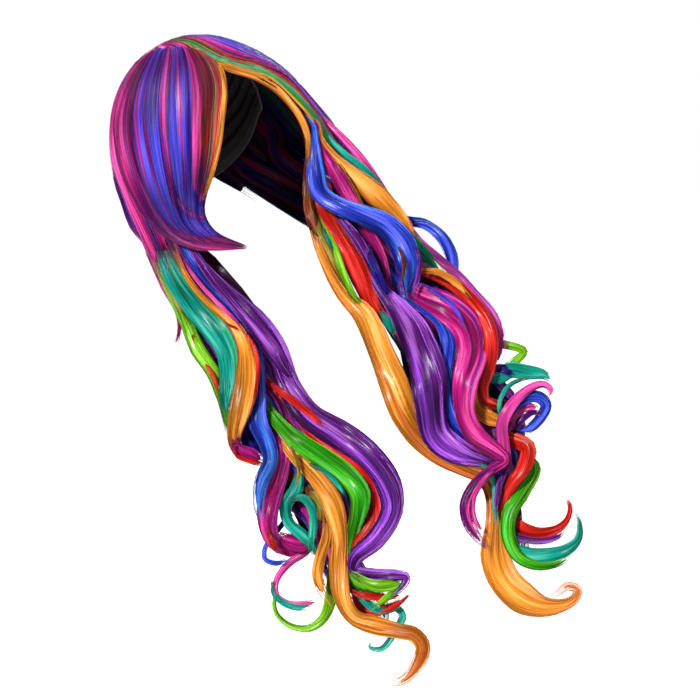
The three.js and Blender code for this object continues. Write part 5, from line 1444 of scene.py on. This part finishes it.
# The accents, which are in the scene alone
for seed, (name, shade, thickness, bends) in enumerate(ACCENTS):
    form = lock_form(thickness, bends, ACCENT_FOLDS)
    piece = dress(name, form, heart(form, *ACCENT_HEART, False), settings(
        form[0], max(ACCENT_STRANDS, girth(form[0]) / STRAND_GAP),
        ACCENT_POINTS * (len(bends) - 1) + 1, fibres[shade],
        ACCENT_SEED + SEED_STEP * seed, **{"Tip Spread": ACCENT_TIPS}))
    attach(piece, "root")

# The sheets of the dome
for seed, (nodes, turns, hems, feather, dark, strands, bands) in enumerate(DOME_SHEETS):
    form = dome_form(turns, hems, feather)
    sheet = dress(nodes[0], form, heart(form, 0.0, 1 - feather / SHEET_LENGTH, True), settings(
        form[0], strands, SHEET_POINTS, banded_material(nodes[0] + " fibres", bands, dark),
        SHEET_SEED + SEED_STEP * seed, Wander=SHEET_WANDER,
        **{"Root Spread": SHEET_ROOTS, "Tip Spread": SHEET_TIPS}))
    finish_piece(sheet, nodes)

# The bang, and the strand along its inner edge
form = bang_form()
bang_fibres = banded_material(
    "bang fibres", BANG_BANDS, BANG_SHADE, BANG_SHADE, BANG_DULLNESS, BANG_ROOT_DEPTH)
bang = dress("bang", form, heart(form, 0.0, BANG_HEART_END, True), settings(
    form[0], BANG_STRANDS, BANG_POINTS, bang_fibres, BANG_SEED, Wander=SHEET_WANDER,
    **{"Root Spread": BANG_ENDS, "Tip Spread": BANG_ENDS}))
finish_piece(bang, ["bang"])

depths = [laid_on_dome(across, height) @ VIEW_FORWARD for across, height, _ in BANG_SELVEDGE]
bends = [(across, height, depth + SELVEDGE_RISE, width)
         for (across, height, width), depth in zip(BANG_SELVEDGE, depths)]
form = lock_form(SELVEDGE_THICKNESS, bends, ACCENT_FOLDS)
selvedge = dress("bang_edge", form, heart(form, 0.0, HEART_END, False), settings(
    form[0], SELVEDGE_STRANDS, BANG_POINTS, fibres["orange"], SELVEDGE_SEED))
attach(selvedge, "root")

# The cap
finish_piece(cap_object(), ["cap"])


# Studio

def lay_floor():
    """A pale floor under the wig, which looks white in the picture."""
    bpy.ops.mesh.primitive_plane_add(size=FLOOR_SIZE * MM, location=(0.0, 0.0, FLOOR_HEIGHT * MM))
    floor = bpy.context.object
    floor.name = "floor"
    paint = bpy.data.materials.new("pale floor")
    paint.use_nodes = True
    tree = paint.node_tree
    shader = tree.nodes["Principled BSDF"]
    for key, value in (("Base Color", (0.5, 0.5, 0.5, 1)), ("Roughness", 0.9),
                       ("Emission Color", (1, 1, 1, 1))):
        shader.inputs[key].default_value = value
    seen = add(tree, "ShaderNodeLightPath").outputs["Is Camera Ray"]
    tree.links.new(sum_of(tree, "MULTIPLY", seen, FLOOR_GLOW), shader.inputs["Emission Strength"])
    floor.data.materials.append(paint)


def light_all_round():
    """Soft light from all sides, from a world that is white in the picture."""
    world = bpy.data.worlds.new("studio")
    world.use_nodes = True
    tree = world.node_tree
    seen = add(tree, "ShaderNodeLightPath").outputs["Is Camera Ray"]
    strength = ranged(tree, seen, 0.0, 1.0, AMBIENT, 1.0)
    tree.nodes["Background"].inputs["Color"].default_value = (1, 1, 1, 1)
    tree.links.new(strength, tree.nodes["Background"].inputs["Strength"])
    bpy.context.scene.world = world


def hang_lamps():
    """The lamps, each placed as seen from the camera."""
    for name, across, forward, height, power, angle in LAMPS:
        lamp = bpy.data.lights.new(name, "SUN")
        lamp.energy = power
        lamp.angle = math.radians(angle)
        light = linked(name, lamp)
        towards = Vector(VIEW_ACROSS) * across + Vector(VIEW_FORWARD) * forward + Vector(UP) * height
        light.rotation_euler = towards.to_track_quat("Z", "Y").to_euler()
        light.location = towards


def set_camera():
    """The camera, turned to the wig's side and rolled, so that the wig leans in the picture."""
    lens = bpy.data.cameras.new("camera")
    lens.sensor_width = SENSOR_WIDTH
    lens.lens = SENSOR_WIDTH * VIEW_DISTANCE / FRAME_WIDTH
    lens.clip_end = 100.0
    roll = math.radians(VIEW_ROLL)
    right = VIEW_ACROSS * math.cos(roll) - UP * math.sin(roll)
    top = VIEW_ACROSS * math.sin(roll) + UP * math.cos(roll)
    place = (VIEW_ACROSS * VIEW_CENTRE[0] + VIEW_FORWARD * VIEW_DISTANCE + UP * VIEW_CENTRE[1]) * MM
    columns = [right, top, VIEW_FORWARD, place]
    rows = [[float(column[i]) for column in columns] for i in range(3)] + [[0, 0, 0, 1]]
    camera = linked("camera", lens)
    camera.matrix_world = Matrix(rows)
    bpy.context.scene.camera = camera


bpy.context.scene.view_settings.view_transform = "Standard"
lay_floor()
light_all_round()
hang_lamps()
set_camera()
